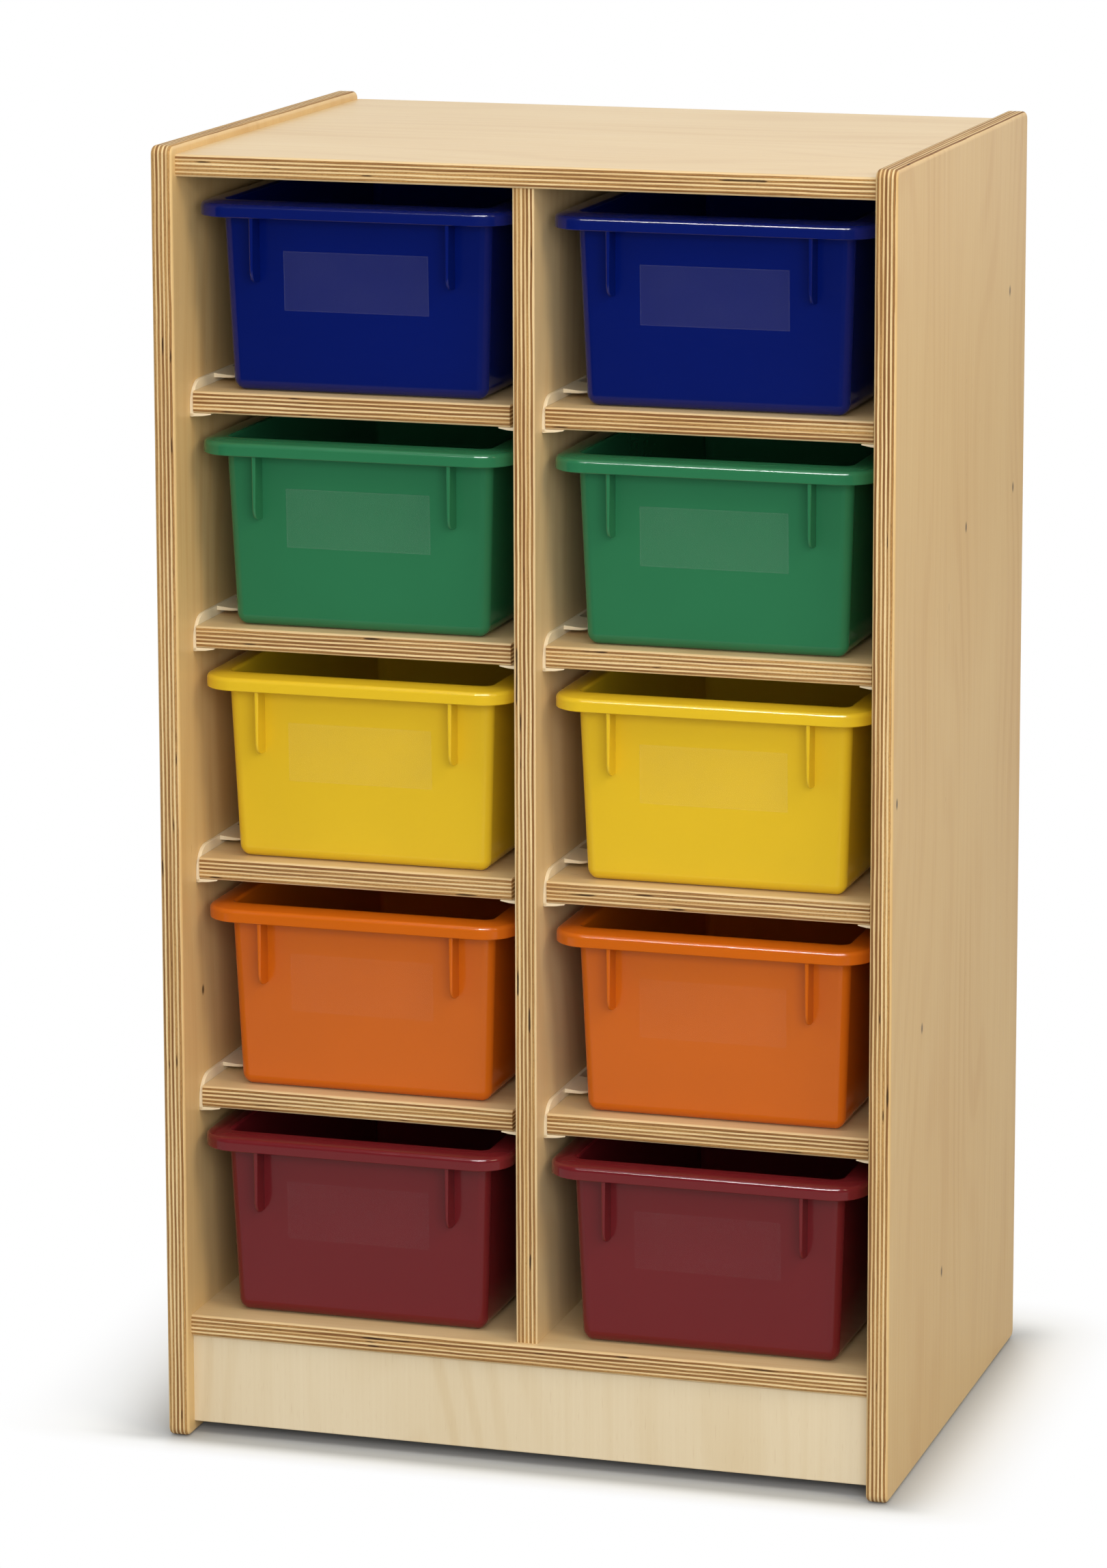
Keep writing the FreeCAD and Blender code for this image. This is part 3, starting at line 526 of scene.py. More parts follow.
low = Vector((inner_left, back_low.y, base_upper))
high = Vector((inner_right, back_high.y, top_under))
add_board("back_panel", new_box(low, high), low, high, through=Y, along=Z)
for name in ("kick_panel", "rear_rail"):
    low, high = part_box(name)
    rail = new_box(low, high)
    round_over(rail, edges_along(edges_in_plane(rail, Z, low.z), X), EASED, EASED_STEPS)
    add_board(name, rail, low, high, through=Y, along=Z, tone=PALE_SHEET)
print(len(boards), "fixed boards")

# %% [markdown]
# ## Shelves
# Eight loose shelves, all cut alike: rounded over in front as the top is, and a little eased at the
# rear. Each one gets its own piece of veneer from the helper.

# %% Shelves
SHELF_EASE, SHELF_EASE_STEPS = 0.5 * MM, 2
COLUMNS = ("left", "right")
SHELVES = range(1, 5)
for column in COLUMNS:
    for number in SHELVES:
        node = f"shelf_{column}_{number}"
        low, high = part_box(node)
        shelf = new_box(low, high)
        round_over(shelf, edges_along(edges_in_plane(shelf, Y, low.y), X), FRONT_ROUND)
        round_over(shelf, edges_in_plane(shelf, Y, high.y), SHELF_EASE, SHELF_EASE_STEPS)
        add_board(node, shelf, low, high, through=Z, along=X)
print(len(boards), "boards in all")

# %% [markdown]
# ## Moulded plastic
# Trays and supports come out of polished steel moulds, so they are glossy but never perfect: a very
# fine orange peel, slow waves where the plastic shrank, and faint rubbing marks that change the
# gloss. In the hollows of the slow waves the colour is a little darker, as painted shade. That is one
# group. The trays use it lightly and the supports use more of it.

# %% Moulded surface group
PEEL_WAVES, SINK_WAVES, RUB_WAVES = 900.0, 14.0, (60.0, 160.0, 420.0)
SINK_LIMITS, RUB_LIMITS = (0.3, 0.7), (0.5, 0.8)
SINK_PAINTED_SHADE, PEEL_HEIGHT = 0.97, 0.02
moulded_group, given, result = new_group(
    "Moulded surface",
    (("Place", "Vector"), ("Color", "Color", grey(0.5)),
     ("Gloss", "Float", 0.25), ("Rubbing", "Float", 0.1)),
    (("Color", "Color"), ("Roughness", "Float"), ("Height", "Float")))
tree, place = moulded_group, given["Place"]
peel = noise(tree, place, PEEL_WAVES, detail=1.0)
sink = noise(tree, place, SINK_WAVES)
rub = stretched_noise(tree, place, RUB_WAVES, detail=3.0, roughness=0.65)
worn = times(tree, between(tree, rub, *RUB_LIMITS), given["Rubbing"])
feed(tree, result["Roughness"], calculate(tree, "ADD", given["Gloss"], worn))
# Painted shade: the colour darkens a little where the slow waves sink.
shade = mixed(tree, 1.0, given["Color"], grey(SINK_PAINTED_SHADE), "MULTIPLY")
feed(tree, result["Color"], mixed(tree, between(tree, sink, *SINK_LIMITS), shade, given["Color"]))
feed(tree, result["Height"], times(tree, peel, PEEL_HEIGHT, plus=sink))
print("moulded surface:", len(tree.nodes), "nodes")

# %% [markdown]
# ## The colours of the plastics
# Five colours of tray and one ivory for the supports differ only in colour, gloss and bump, so one
# function makes them all. The supports are thin, and light goes a little way into them, which
# takes the hardness off their edges.

# %% Tray and support plastics
WAVE_DEPTH = 0.6 * MM
PLASTIC_IOR, PLASTIC_SPECULAR = 1.49, 0.38
TRAY_GLOSS, TRAY_RUBBING, TRAY_BUMP = 0.13, 0.05, 0.03
IVORY_DEPTH, IVORY_RADII = 0.2, (4.0 * MM, 3.5 * MM, 3.0 * MM)
TRAY_COLOURS = {"blue": linear(2, 20, 98), "green": linear(42, 114, 76), "yellow": linear(222, 186, 38),
                "orange": linear(199, 97, 12), "dark_red": linear(106, 26, 32)}


def make_plastic(name, colour, gloss, rubbing, bump):
    material, tree, shader = new_material(name)
    place = add_node(tree, "ShaderNodeTexCoord")["Object"]
    surface = use_group(tree, moulded_group, Place=place, Color=colour, Gloss=gloss, Rubbing=rubbing)
    feed(tree, shader["Base Color"], surface["Color"])
    feed(tree, shader["Roughness"], surface["Roughness"])
    feed(tree, shader["Normal"], bumped(tree, surface["Height"], bump, WAVE_DEPTH))
    shader["IOR"].default_value = PLASTIC_IOR
    shader["Specular IOR Level"].default_value = PLASTIC_SPECULAR
    return material


plastics = {name: make_plastic(f"tray_{name}", colour, TRAY_GLOSS, TRAY_RUBBING, TRAY_BUMP)
            for name, colour in TRAY_COLOURS.items()}
ivory = make_plastic("support_plastic", linear(238, 224, 194), gloss=0.36, rubbing=0.1, bump=0.3)
ivory_shader = ivory.node_tree.nodes["Principled BSDF"].inputs
ivory_shader["Subsurface Weight"].default_value = IVORY_DEPTH
ivory_shader["Subsurface Radius"].default_value = IVORY_RADII
print("plastics:", ", ".join(plastics), "and ivory")

# %% [markdown]
# ## Tray shell
# A tray is one moulded skin: floor, round foot, leaning wall, rim that rolls outwards into a short
# skirt, and the same back down inside. Such a shape follows a rule. It is a section carried round
# a rounded rectangle. A point of the section is an inset from the rim's outermost line and a
# height above the tray's underside, and arcs make its round stretches.

# %% Sizes of the tray
tray_low, tray_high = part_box("tray_left_1")
RIM_X, RIM_Y = (tray_high.x - tray_low.x) / 2, (tray_high.y - tray_low.y) / 2
CREST = tray_high.z - tray_low.z
WALL = 2.3 * MM
LEAN_DEGREES = 2.2
LEAN = math.tan(math.radians(LEAN_DEGREES))
OVERHANG = 15.5 * MM
RIM_HEIGHT, RIM_HOLLOW = 10.4 * MM, 5.0 * MM
CROWN_RADIUS, CROWN_STEPS = 58.0 * MM, 5
ROLL_RADIUS, ROLL_STEPS = 3.2 * MM, 8
FOOT_RADIUS, FOOT_STEPS, INNER_FOOT_STEPS = 8.5 * MM, 8, 7
MOUTH_STEPS = 5
LIP = 0.5 * MM


def arc(centre, radius, start, end, steps):
    """Points of an arc in a plane; 0 degrees is up, and 90 points back along the first axis."""
    angles = [math.radians(start + (end - start) * step / steps) for step in range(steps + 1)]
    return [(centre[0] - radius * math.sin(a), centre[1] + radius * math.cos(a)) for a in angles]


def foot_arc(overhang, floor, radius, steps):
    """Round foot that joins a level floor to a leaning wall, from the floor upwards."""
    side = math.radians(LEAN_DEGREES)
    touch = floor + radius * (1 - math.sin(side))
    inset = overhang + (CREST - touch) * LEAN + radius * math.cos(side)
    return arc((inset, floor + radius), radius, 180, 90 + LEAN_DEGREES, steps)


print("tray:", *(round(size / MM, 1) for size in (2 * RIM_X, 2 * RIM_Y, CREST)), "mm")

# %% [markdown]
# ## The tray's section
# Outside, the section runs up the wall, along under the rim and round the foot of the skirt. It
# comes back over the roll and the crown, and goes down the inner wall to the floor.

# %% Section of the tray
between_radii = CROWN_RADIUS - ROLL_RADIUS
turn = math.asin((OVERHANG - ROLL_RADIUS) / between_radii)
turn_degrees = math.degrees(turn)
roll_centre = (ROLL_RADIUS, CREST - CROWN_RADIUS + between_radii * math.cos(turn))
skirt_low, ceiling = CREST - RIM_HEIGHT, CREST - RIM_HEIGHT + RIM_HOLLOW
outer_foot = foot_arc(OVERHANG, 0.0, FOOT_RADIUS, FOOT_STEPS)
outside = outer_foot + [
    (OVERHANG + (CREST - ceiling) * LEAN, ceiling), (WALL + LIP, ceiling), (WALL, ceiling - LIP),
    (WALL, skirt_low + LIP), (WALL - LIP, skirt_low), (LIP, skirt_low), (0.0, skirt_low + LIP)]
crown = arc((OVERHANG, CREST - CROWN_RADIUS), CROWN_RADIUS, turn_degrees, 0, CROWN_STEPS)
rim_top = arc(roll_centre, ROLL_RADIUS, 90, turn_degrees, ROLL_STEPS) + crown[1:]
mouth = arc((OVERHANG, CREST - WALL), WALL, 0, LEAN_DEGREES - 90, MOUTH_STEPS)[1:]
inside = foot_arc(OVERHANG + WALL, WALL, FOOT_RADIUS - WALL, INNER_FOOT_STEPS)[::-1]
section_count = len(outside + rim_top + mouth + inside)
print("section:", section_count, "points, rim turns", round(turn_degrees, 1), "degrees")

# %% [markdown]
# ## Loft the shell
# The shell is lofted through rounded rectangles, one for each point of the section, with its own
# inset, height and corner radius. A subdivided box would not keep the lean of the walls, and a
# boolean would not give such clean round edges. The rim's corners are wide and the body's are
# tight, so the radius follows the inset.

# %% Loft
RIM_CORNER, BODY_CORNER, LEAST_CORNER = 23.5 * MM, 7.5 * MM, 1.2 * MM
CORNER_STEPS = 10
MERGE_DISTANCE = 0.01 * MM


def rounded_loop(mesh, half_x, half_y, radius, height):
    """A ring of vertices on a rounded rectangle, from the right end of its front edge."""
    ring = []
    for quarter, (side_x, side_y) in enumerate(((1, -1), (1, 1), (-1, 1), (-1, -1))):
        for step in range(CORNER_STEPS + 1):
            angle = math.radians(90 * (quarter - 1 + step / CORNER_STEPS))
            ring.append(mesh.verts.new((side_x * (half_x - radius) + radius * math.cos(angle),
                                        side_y * (half_y - radius) + radius * math.sin(angle), height)))
    return ring


def corner_radius(inset, wall_inset, least):
    """Plan radius of a corner: an offset of the rim's, but never less than the body's at its wall."""
    if inset <= wall_inset:
        return max(RIM_CORNER - inset, least)
    return max(least - (inset - wall_inset), LEAST_CORNER)


def loft(mesh, rings):
    """Join closed rings of vertices, each to the next, and close both ends."""
    for ring, following in zip(rings, rings[1:]):
        for index in range(len(ring)):
            mesh.faces.new((ring[index - 1], ring[index], following[index], following[index - 1]))
    mesh.faces.new(rings[0])
    mesh.faces.new(rings[-1])


shell = bmesh.new()
shell_rings = []
for points, wall_inset, least in (
        (outside, outer_foot[-1][0], BODY_CORNER), (rim_top, RIM_X, BODY_CORNER),
        (mouth, RIM_X, BODY_CORNER - WALL), (inside, inside[0][0], BODY_CORNER - WALL)):
    for inset, height in points:
        radius = corner_radius(inset, wall_inset, least)
        shell_rings.append(rounded_loop(shell, RIM_X - inset, RIM_Y - inset, radius, height))
loft(shell, shell_rings)
bmesh.ops.remove_doubles(shell, verts=shell.verts, dist=MERGE_DISTANCE)
shell_object = new_piece("tray_shell", shell, plastics["blue"])
print("tray shell:", len(shell_object.data.polygons), "faces")

# %% [markdown]
# ## Ribs
# Two thin ribs brace the rim in front and two at the rear. Each is a blade that tapers downwards and
# curves into the wall at its toe. One blade is drawn level by level, with its front at zero, and
# its back edge reaches a little into the wall.

# %% One rib
RIB_SPACING, RIB_SETBACK = 136.4 * MM, 1.9 * MM
RIB_FRONT = RIM_Y - RIB_SETBACK
RIB_LENGTH = 44.0 * MM
RIB_TOE, RIB_TOE_STEPS = 9.0 * MM, 8
RIB_HEAD_WIDTH, RIB_FOOT_WIDTH = 2.8 * MM, 1.7 * MM
RIB_EASE = 0.6 * MM
RIB_INTO_RIM, RIB_INTO_WALL = 0.3 * MM, 0.6 * MM
rib_head, rib_foot = ceiling + RIB_INTO_RIM, skirt_low - RIB_LENGTH
rib_back = RIB_FRONT - (RIM_Y - OVERHANG - (CREST - rib_foot) * LEAN) + RIB_INTO_WALL
rib_levels = [(rib_head, 0.0)]
for step in range(RIB_TOE_STEPS + 1):
    angle = math.radians(90 * step / RIB_TOE_STEPS)
    rib_levels.append((rib_foot + RIB_TOE * (1 - math.sin(angle)), RIB_TOE * (1 - math.cos(angle))))
blade = bmesh.new()
blade_rings = []
for height, retreat in rib_levels:
    rise = (height - rib_foot) / (rib_head - rib_foot)
    half = (RIB_FOOT_WIDTH + (RIB_HEAD_WIDTH - RIB_FOOT_WIDTH) * rise) / 2
    outline = ((-half, rib_back), (-half, retreat + RIB_EASE), (RIB_EASE - half, retreat),
               (half - RIB_EASE, retreat), (half, retreat + RIB_EASE), (half, rib_back))
    blade_rings.append([blade.verts.new((x, y, height)) for x, y in outline])
loft(blade, blade_rings)
rib_object = new_piece("tray_rib", blade, plastics["blue"])
print("rib:", round(rib_back / MM, 1), "mm deep,", len(rib_object.data.polygons), "faces")

# %% [markdown]
# ## A tree that repeats the ribs
# Geometry Nodes place the blade: two points in front carry one each, the pair is turned half round
# for the rear, and all are joined to the shell as one mesh. The spacing and the place of the
# blade's front are inputs of the tree. Instances are made real at the end, because only real faces
# can be exported.

# %% Ribs tree
SHAPE = ("Geometry", "Geometry")


def end_tree(tree, shapes, material, result):
    """Join some shapes, make their instances real and give them one material."""
    joined = tree.nodes.new("GeometryNodeJoinGeometry")
    for shape in shapes:
        tree.links.new(shape, joined.inputs["Geometry"])
    real = add_node(tree, "GeometryNodeRealizeInstances", Geometry=joined.outputs["Geometry"])["Geometry"]
    coloured = add_node(tree, "GeometryNodeSetMaterial", Geometry=real, Material=material)["Geometry"]
    tree.links.new(coloured, result["Geometry"])


def apply_tree(piece, tree, **values):
    """Run a tree on an object with its inputs set by identifier, and keep the plain result."""
    modifier = piece.modifiers.new(tree.name, "NODES")
    modifier.node_group = tree
    names = {item.name: item.identifier for item in tree.interface.items_tree if item.in_out == "INPUT"}
    for name, setting in values.items():
        modifier[names[name]] = setting
    make_plain(piece)


ribs_tree, given, result = new_group(
    "Braced rim",
    (SHAPE, ("Rib", "Object"), ("Spacing", "Float"), ("Front", "Float"), ("Material", "Material")),
    (SHAPE,), "GeometryNodeTree")
tree = ribs_tree
start = add_node(tree, "ShaderNodeCombineXYZ", X=times(tree, given["Spacing"], -0.5),
                 Y=times(tree, given["Front"], -1.0))["Vector"]
apart = add_node(tree, "ShaderNodeCombineXYZ", X=given["Spacing"])["Vector"]
pair = add_node(tree, "GeometryNodeMeshLine", Count=2, Start_Location=start, Offset=apart)["Mesh"]
one_rib = add_node(tree, "GeometryNodeObjectInfo", Object=given["Rib"])["Geometry"]
front_ribs = add_node(tree, "GeometryNodeInstanceOnPoints", Points=pair, Instance=one_rib)["Instances"]
rear_ribs = add_node(tree, "GeometryNodeTransform", Geometry=front_ribs,
                     Rotation=(0.0, 0.0, math.pi))["Geometry"]
end_tree(tree, (given["Geometry"], front_ribs, rear_ribs), given["Material"], result)
print("ribs tree:", len(tree.nodes), "nodes")

# %% [markdown]
# ## Ten trays
# All trays come from one mould, and each row has its colour. A copy of the shell gets its ribs and
# its colour, is moved to its cubby by changing its mesh, and rides the body of the tray that it
# stands for. The trays are also gathered in a collection, for two lights that shine on them alone.

# %% Place the trays
ROW_COLOURS = tuple(TRAY_COLOURS)
tray_pieces = bpy.data.collections.new("tray_pieces")


def tray_place(node):
    """Middle of a tray's underside."""
    low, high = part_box(node)
    return Vector(((low.x + high.x) / 2, (low.y + high.y) / 2, low.z))


for column in COLUMNS:
    for number, colour in enumerate(ROW_COLOURS, 1):
        node = f"tray_{column}_{number}"
        piece = new_object(f"{node}_dressed", shell_object.data.copy())
        apply_tree(piece, ribs_tree, Rib=rib_object, Spacing=RIB_SPACING, Front=RIB_FRONT,
                   Material=plastics[colour])
        piece.data.transform(Matrix.Translation(tray_place(node)))
        weigh_normals(piece)
        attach(piece, f"pull_tray_{column}_{number}")
        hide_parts(node)
        tray_pieces.objects.link(piece)
for helper in (shell_object, rib_object):
    bpy.data.objects.remove(helper)

# %% [markdown]
# ## Label film
# A clear adhesive film on each tray's front takes a name card. It is so thin that it shows only as a
# slight haze, with a painted highlight along its edge: the film is made denser near its border, so
# that the edge looks as if it catches the light. Its attribute named film holds the place on it, as
# shares of its half width and half height, for that border, and how hazy this film is.

# %% Label film material
BORDER_X, BORDER_Y = (0.985, 0.998), (0.962, 0.995)
HAZE_WAVES = (1.6, 0.8, 0.0)
FILM_ALPHA, HAZE_ALPHA, BORDER_HIGHLIGHT_ALPHA = 0.013, 0.01, 0.02
FILM_ROUGHNESS, HAZE_ROUGHNESS = 0.22, 0.1
film, tree, shader = new_material("label_film")
place = read_attribute(tree, "film")
parts = split(tree, place)
border = calculate(tree, "MAXIMUM", between(tree, calculate(tree, "ABSOLUTE", parts["X"]), *BORDER_X),
                   between(tree, calculate(tree, "ABSOLUTE", parts["Y"]), *BORDER_Y))
haze = stretched_noise(tree, place, HAZE_WAVES)
density = times(tree, haze, HAZE_ALPHA, plus=FILM_ALPHA)
# Painted highlight: the pale film grows denser along its border.
density = times(tree, border, BORDER_HIGHLIGHT_ALPHA, plus=density)
feed(tree, shader["Alpha"], times(tree, density, parts["Z"]))
feed(tree, shader["Roughness"], times(tree, haze, HAZE_ROUGHNESS, plus=FILM_ROUGHNESS))
shader["Base Color"].default_value = linear(226, 228, 234)
print("made", film.name)

# %% [markdown]
# ## Label pockets
# A plane would do for a film, but a real slab exports better. Each slab leans with the tray's wall
# and is let into it a little, so that no dark gap shows behind it. The films of the lower rows are
# clearer.

# %% Place the films
FILM_PROUD, FILM_SUNK = 0.2 * MM, 0.6 * MM
FILM_HAZE = (1.1, 1.5, 1.3, 0.6, 0.45)
for column in COLUMNS:
    for number, haziness in enumerate(FILM_HAZE, 1):
        node = f"tray_label_{column}_{number}"
        low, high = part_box(node)
        middle, foot = (low + high) / 2, tray_place(f"tray_{column}_{number}")
        slab = new_box(low, high)
        for vertex in slab.verts:
            wall = foot.y - RIM_Y + OVERHANG + (CREST - vertex.co.z + foot.z) * LEAN
            vertex.co.y = wall + (FILM_SUNK if vertex.co.y > middle.y else -FILM_PROUD)
        piece = new_piece(f"{node}_dressed", slab, film)
        shares = piece.data.attributes.new("film", "FLOAT_VECTOR", "POINT")
        for vertex, stored in zip(piece.data.vertices, shares.data):
            offset = vertex.co - middle
            stored.vector = (2 * offset.x / (high.x - low.x), 2 * offset.z / (high.z - low.z), haziness)
        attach(piece, f"pull_tray_{column}_{number}")
        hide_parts(node)
print("film:", round((high.x - low.x) / MM), "by", round((high.z - low.z) / MM), "mm")

# %% [markdown]
# ## Shelf supports
# Each shelf lies on four plastic supports. A support is a plate against the wall with round
# shoulders, a thin flange that carries the shelf, and a springy tab above that locks it down. All
# its places follow from the boxes of a set of supports and of its shelf.

# %% Sizes of a support
PLATE = 2.5 * MM
CLIP_LENGTH = 116.0 * MM
SHOULDER = 16.0 * MM
FLANGE_REACH, FLANGE_TIP = 15.0 * MM, 0.8 * MM
KNEE_SHARE, KNEE_RISE = 0.6, 0.6 * MM
TAB_LENGTH, TAB_REACH = 34.0 * MM, 16.0 * MM
TAB_GAP, TAB_FALL, TAB_CORNER = 3.2 * MM, 1.9 * MM, 7.0 * MM
clip_low, clip_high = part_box("shelf_supports_left_1")
shelf_low, shelf_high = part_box("shelf_left_1")
wall_x, clip_front, clip_rear = clip_low.x, clip_low.y, clip_low.y + CLIP_LENGTH
plate_low, plate_high = clip_low.z, clip_high.z
tab_tip, tab_under = wall_x + PLATE + TAB_REACH, shelf_high.z + TAB_GAP
tab_front = (clip_front + clip_rear - TAB_LENGTH) / 2
tab_rear = tab_front + TAB_LENGTH
print("support:", round(CLIP_LENGTH / MM), "mm long,", round((plate_high - plate_low) / MM, 1), "mm high")

# %% [markdown]
# ## Draw one support
# The left front support is drawn from its outlines: three prisms that overlap, as the ribs of a
# moulding do, with softened edges.

# %% One support
QUARTER_STEPS = 6
SOFT_EDGE, SOFT_STEPS = 0.3 * MM, 2


def prism(mesh, first, second):
    """A closed solid between two outlines of the same number of points."""
    loft(mesh, [[mesh.verts.new(point) for point in outline] for outline in (first, second)])


clip = bmesh.new()
plate = [(clip_front, plate_low), (clip_rear, plate_low)]
plate += arc((clip_rear - SHOULDER, plate_high - SHOULDER), SHOULDER, -90, 0, QUARTER_STEPS)
plate += arc((clip_front + SHOULDER, plate_high - SHOULDER), SHOULDER, 0, 90, QUARTER_STEPS)
prism(clip, [(wall_x, y, z) for y, z in plate], [(wall_x + PLATE, y, z) for y, z in plate])
flange_top, flange_tip = shelf_low.z, wall_x + FLANGE_REACH
flange = [(wall_x, flange_top), (flange_tip, flange_top), (flange_tip, flange_top - FLANGE_TIP),
          (wall_x + KNEE_SHARE * FLANGE_REACH, plate_low + KNEE_RISE), (wall_x, plate_low)]
prism(clip, [(x, clip_front, z) for x, z in flange], [(x, clip_rear, z) for x, z in flange])
tab = [(wall_x, tab_front)]
tab += arc((tab_tip - TAB_CORNER, tab_front + TAB_CORNER), TAB_CORNER, -180, -90, QUARTER_STEPS)
tab += arc((tab_tip - TAB_CORNER, tab_rear - TAB_CORNER), TAB_CORNER, -90, 0, QUARTER_STEPS)
tab.append((wall_x, tab_rear))
tab_slope = TAB_FALL / (tab_tip - wall_x)
prism(clip, [(x, y, tab_under) for x, y in tab],
      [(x, y, plate_high - tab_slope * (x - wall_x)) for x, y in tab])
clip_object = new_piece("shelf_support", clip, ivory)
softened = clip_object.modifiers.new("soft_edges", "BEVEL")
softened.width = SOFT_EDGE
softened.segments = SOFT_STEPS
softened.limit_method = "ANGLE"
make_plain(clip_object)
set_middle = (clip_low + clip_high) / 2
clip_object.data.transform(Matrix.Translation((-set_middle.x, -set_middle.y, -shelf_low.z)))
tab_thickness = round((plate_high - tab_under) / MM, 1)
print("one support:", len(clip_object.data.polygons), "faces, tab", tab_thickness, "mm thick")

# %% [markdown]
# ## A tree that mirrors a support
# The other three corners of a shelf need the same support the other way round. A second tree scales
# it by minus one along x, along y or along both, and moves the set to its shelf. A single mirror
# turns faces inside out, so the tree flips those back.

# %% Supports tree
supports_tree, given, result = new_group(
    "Four supports", (SHAPE, ("Place", "Vector"), ("Material", "Material")), (SHAPE,), "GeometryNodeTree")
tree = supports_tree
corners = []
for flip_x, flip_y in ((1, 1), (-1, 1), (1, -1), (-1, -1)):
    corner = add_node(tree, "GeometryNodeTransform", Geometry=given["Geometry"], Translation=given["Place"],
                      Scale=(flip_x, flip_y, 1.0))["Geometry"]
    if flip_x * flip_y < 0:
        corner = add_node(tree, "GeometryNodeFlipFaces", Mesh=corner)["Mesh"]
    corners.append(corner)
end_tree(tree, corners, given["Material"], result)

for column in COLUMNS:
    for number in SHELVES:
        node = f"shelf_supports_{column}_{number}"
        low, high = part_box(node)
        place = ((low.x + high.x) / 2, (low.y + high.y) / 2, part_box(f"shelf_{column}_{number}")[0].z)
        piece = new_object(f"{node}_dressed", clip_object.data.copy())
        apply_tree(piece, supports_tree, Place=place, Material=ivory)
        weigh_normals(piece)
        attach(piece, "cabinet")
        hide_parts(node)
bpy.data.objects.remove(clip_object)
print("supports:", len(COLUMNS) * len(SHELVES), "sets of", len(piece.data.polygons), "faces")

# %% [markdown]
# ## Floor
# A pale floor keeps the shadow near the cabinet and fades into a white ground. Close to the cabinet's
# plan its own colour also darkens into a painted shadow. The fade depends on how far a point lies
# outside the cabinet's plan, and each side has its own reach: long to the left, where the shadow
# falls, and short in front. Only the camera sees this white and this painted shadow. Matt faces get
# less light back, from a grey floor, and glossy faces mirror a floor that is dark in front.

# %% Floor
FLOOR_SIZE, FLOOR_DROP = 12.0, 0.5 * MM
FADE_RIGHT_REAR, FADE_LEFT_FRONT = (1.5, 1.4, 0.0), (0.9, 3.5, 0.0)
GROUND_LIMITS, PAINTED_SHADOW_LIMITS, DARK_FRONT_LIMITS = (0.0, 0.13), (-0.03, 0.07), (-1.6, -1.0)
MATT_FLOOR, MIRRORED_FRONT, MIRRORED_NEAR = grey(0.4), grey(0.08), grey(0.55)
FLOOR_ROUGHNESS, FLOOR_SPECULAR = 0.7, 0.1
PAINTED_SHADOW_COLOUR, GROUND_COLOUR = (0.4, 0.42, 0.44, 1.0), (0.86, 0.9, 0.94, 1.0)
NOWHERE = (0.0, 0.0, 0.0)
floor_mesh = bmesh.new()
bmesh.ops.create_grid(floor_mesh, x_segments=1, y_segments=1, size=FLOOR_SIZE / 2)
bmesh.ops.translate(floor_mesh, verts=floor_mesh.verts, vec=(0, 0, -FLOOR_DROP))
floor_material, tree, shader = new_material("studio_floor")
rays = add_node(tree, "ShaderNodeLightPath")
seen = rays["Is Camera Ray"]
place = add_node(tree, "ShaderNodeTexCoord")["Object"]
beyond = reckon(tree, "MAXIMUM", reckon(tree, "SUBTRACT", place, tuple(cad_high)), NOWHERE)
before = reckon(tree, "MAXIMUM", reckon(tree, "SUBTRACT", tuple(cad_low), place), NOWHERE)
away = reckon(tree, "LENGTH", reckon(tree, "ADD", reckon(tree, "MULTIPLY", beyond, FADE_RIGHT_REAR),
                                     reckon(tree, "MULTIPLY", before, FADE_LEFT_FRONT)))
from_front = between(tree, split(tree, place)["Y"], *DARK_FRONT_LIMITS)
mirrored = mixed(tree, from_front, MIRRORED_FRONT, MIRRORED_NEAR)
unseen = mixed(tree, rays["Is Glossy Ray"], MATT_FLOOR, mirrored)
# Painted shadow: close to the cabinet's plan the floor's colour darkens towards a grey.
near = mixed(tree, between(tree, away, *PAINTED_SHADOW_LIMITS), PAINTED_SHADOW_COLOUR, GROUND_COLOUR)
feed(tree, shader["Base Color"], mixed(tree, seen, unseen, near))
shader["Roughness"].default_value = FLOOR_ROUGHNESS
shader["Specular IOR Level"].default_value = FLOOR_SPECULAR
ground = add_node(tree, "ShaderNodeEmission", Color=grey(1.0))["Emission"]
blend = tree.nodes.new("ShaderNodeMixShader")
feed(tree, blend.inputs["Fac"], times(tree, between(tree, away, *GROUND_LIMITS), seen))
tree.links.new(tree.nodes["Principled BSDF"].outputs["BSDF"], blend.inputs[1])
tree.links.new(ground, blend.inputs[2])
tree.links.new(blend.outputs["Shader"], tree.nodes["Material Output"].inputs["Surface"])
floor = new_piece("floor", floor_mesh, floor_material)
print("floor:", FLOOR_SIZE, "metres wide")

# %% [markdown]
# ## World
# The camera looks into a white world. Matt faces get an even, slightly warm light from all round.
# Glossy faces mirror a dark room in front and a white one behind, so that the trays' fronts keep
# their full colour and the top shines a little.

# %% World
BACKDROP_LIMITS = (0.0, 0.4)
ROOM_COLOUR, DARK_ROOM, WHITE_ROOM = (0.53, 0.52, 0.5, 1.0), grey(0.1), grey(1.0)
world = bpy.data.worlds.new("studio")
bpy.context.scene.world = world
world.use_nodes = True
tree = world.node_tree
rays = add_node(tree, "ShaderNodeLightPath")
toward = split(tree, add_node(tree, "ShaderNodeTexCoord")["Generated"])
backdrop = mixed(tree, between(tree, toward["Y"], *BACKDROP_LIMITS), DARK_ROOM, WHITE_ROOM)
room = mixed(tree, rays["Is Glossy Ray"], ROOM_COLOUR, backdrop)
feed(tree, tree.nodes["Background"].inputs["Color"], mixed(tree, rays["Is Camera Ray"], room, WHITE_ROOM))
print("world:", len(tree.nodes), "nodes")

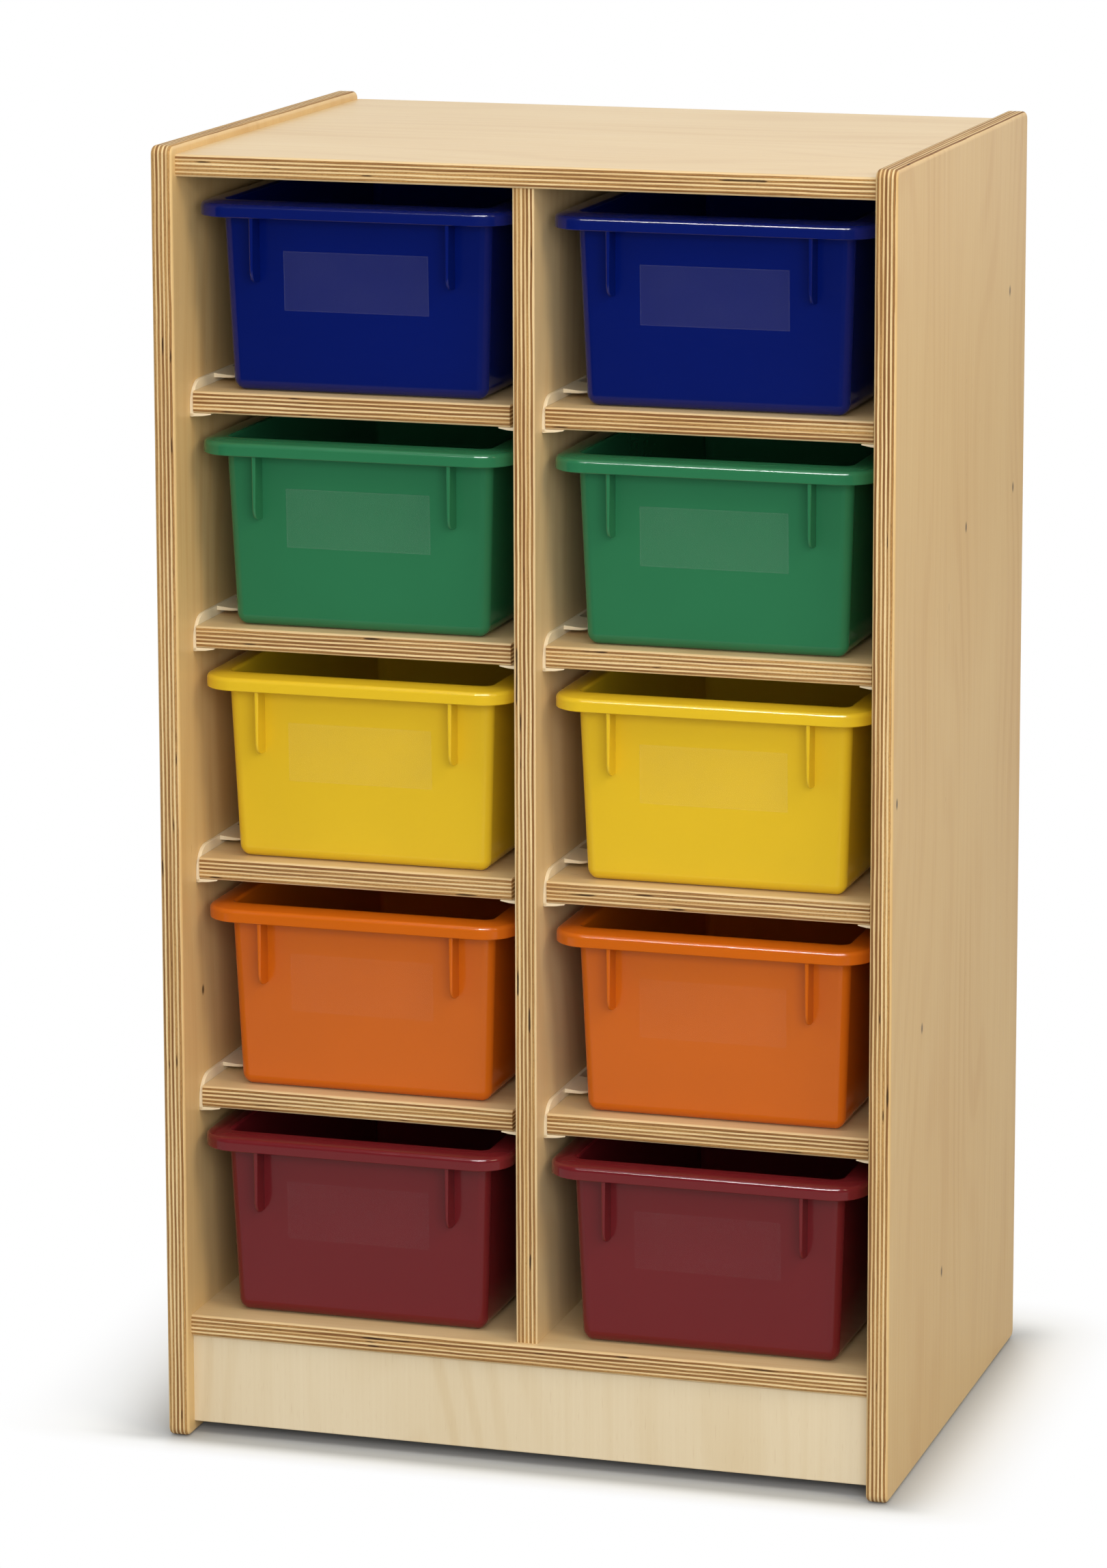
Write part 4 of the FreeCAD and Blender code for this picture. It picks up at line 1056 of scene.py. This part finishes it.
# %% [markdown]
# ## Lights
# One large soft light stands in front, a warm one on the right, and weaker ones on the left, above
# and behind. Two thin strips draw lines along the glossy rims. They shine on the trays alone,
# because the lacquered top would glare with them when it is seen from behind.

# %% Lights
AIM = Vector((0.0, 0.0, 0.5))
PLAIN_LIGHT, SOFT_LIGHT, WARM_LIGHT = (1.0, 1.0, 1.0), (1.0, 0.98, 0.95), (1.0, 0.82, 0.56)
STRIP = {"size": (2.2, 0.14), "power": 115, "lights": False, "only": tray_pieces}


def add_light(name, place, size, power, colour=PLAIN_LIGHT, lights=True, mirrored=True, only=None):
    """A soft light that faces the cabinet; it can leave out matt or glossy faces, or all but some pieces."""
    lamp = bpy.data.lights.new(name, "AREA")
    lamp.shape = "RECTANGLE"
    lamp.size, lamp.size_y = size
    lamp.energy = power
    lamp.color = colour
    light = new_object(name, lamp)
    light.location = place
    light.visible_diffuse, light.visible_glossy = lights, mirrored
    light.light_linking.receiver_collection = only
    light.rotation_euler = (AIM - Vector(place)).to_track_quat("-Z", "Y").to_euler()
    print("light", name, "of", power, "watts")


add_light("front", place=(1.2, -3.2, 1.4), size=(2.4, 1.6), power=63, colour=SOFT_LIGHT, mirrored=False)
add_light("right", place=(1.9, -1.0, 2.0), size=(1.0, 1.0), power=18, colour=WARM_LIGHT)
add_light("left", place=(-2.4, -0.9, 1.5), size=(1.2, 1.2), power=9, mirrored=False)
add_light("overhead", place=(0.0, -0.4, 2.8), size=(1.8, 1.4), power=13)
add_light("rear", place=(-0.6, 3.2, 1.0), size=(1.6, 1.0), power=45, mirrored=False)
add_light("strip_low", place=(0.2, -2.6, 2.5), **STRIP)
add_light("strip_high", place=(0.3, -2.2, 2.9), **STRIP)

# %% [markdown]
# ## Camera
# A long lens from the front right and above shows the trays, the right side and the top at once. It
# looks down only a little, and the lens is shifted for the rest, so that the uprights stay almost
# parallel as they do in furniture pictures.

# %% Camera
IMAGE_SIZE = (1621, 2296)
FOCAL_PIXELS, SENSOR = 8618.5, 36.0
LENS_SHIFT = (-0.05, -0.14)
CAMERA_PLACE = (1.1405, -3.8135, 1.3162)
LOOK_DOWN, LOOK_LEFT = 0.1810, 0.2853
camera_data = bpy.data.cameras.new("camera")
camera_data.sensor_width = SENSOR
camera_data.lens = FOCAL_PIXELS / max(IMAGE_SIZE) * SENSOR
camera_data.shift_x, camera_data.shift_y = LENS_SHIFT
camera = new_object("camera", camera_data)
camera.location = CAMERA_PLACE
camera.rotation_euler = (math.pi / 2 - LOOK_DOWN, 0.0, LOOK_LEFT)
bpy.context.scene.camera = camera
bpy.context.scene.view_settings.view_transform = "Standard"
print("lens", round(camera_data.lens, 1), "mm")
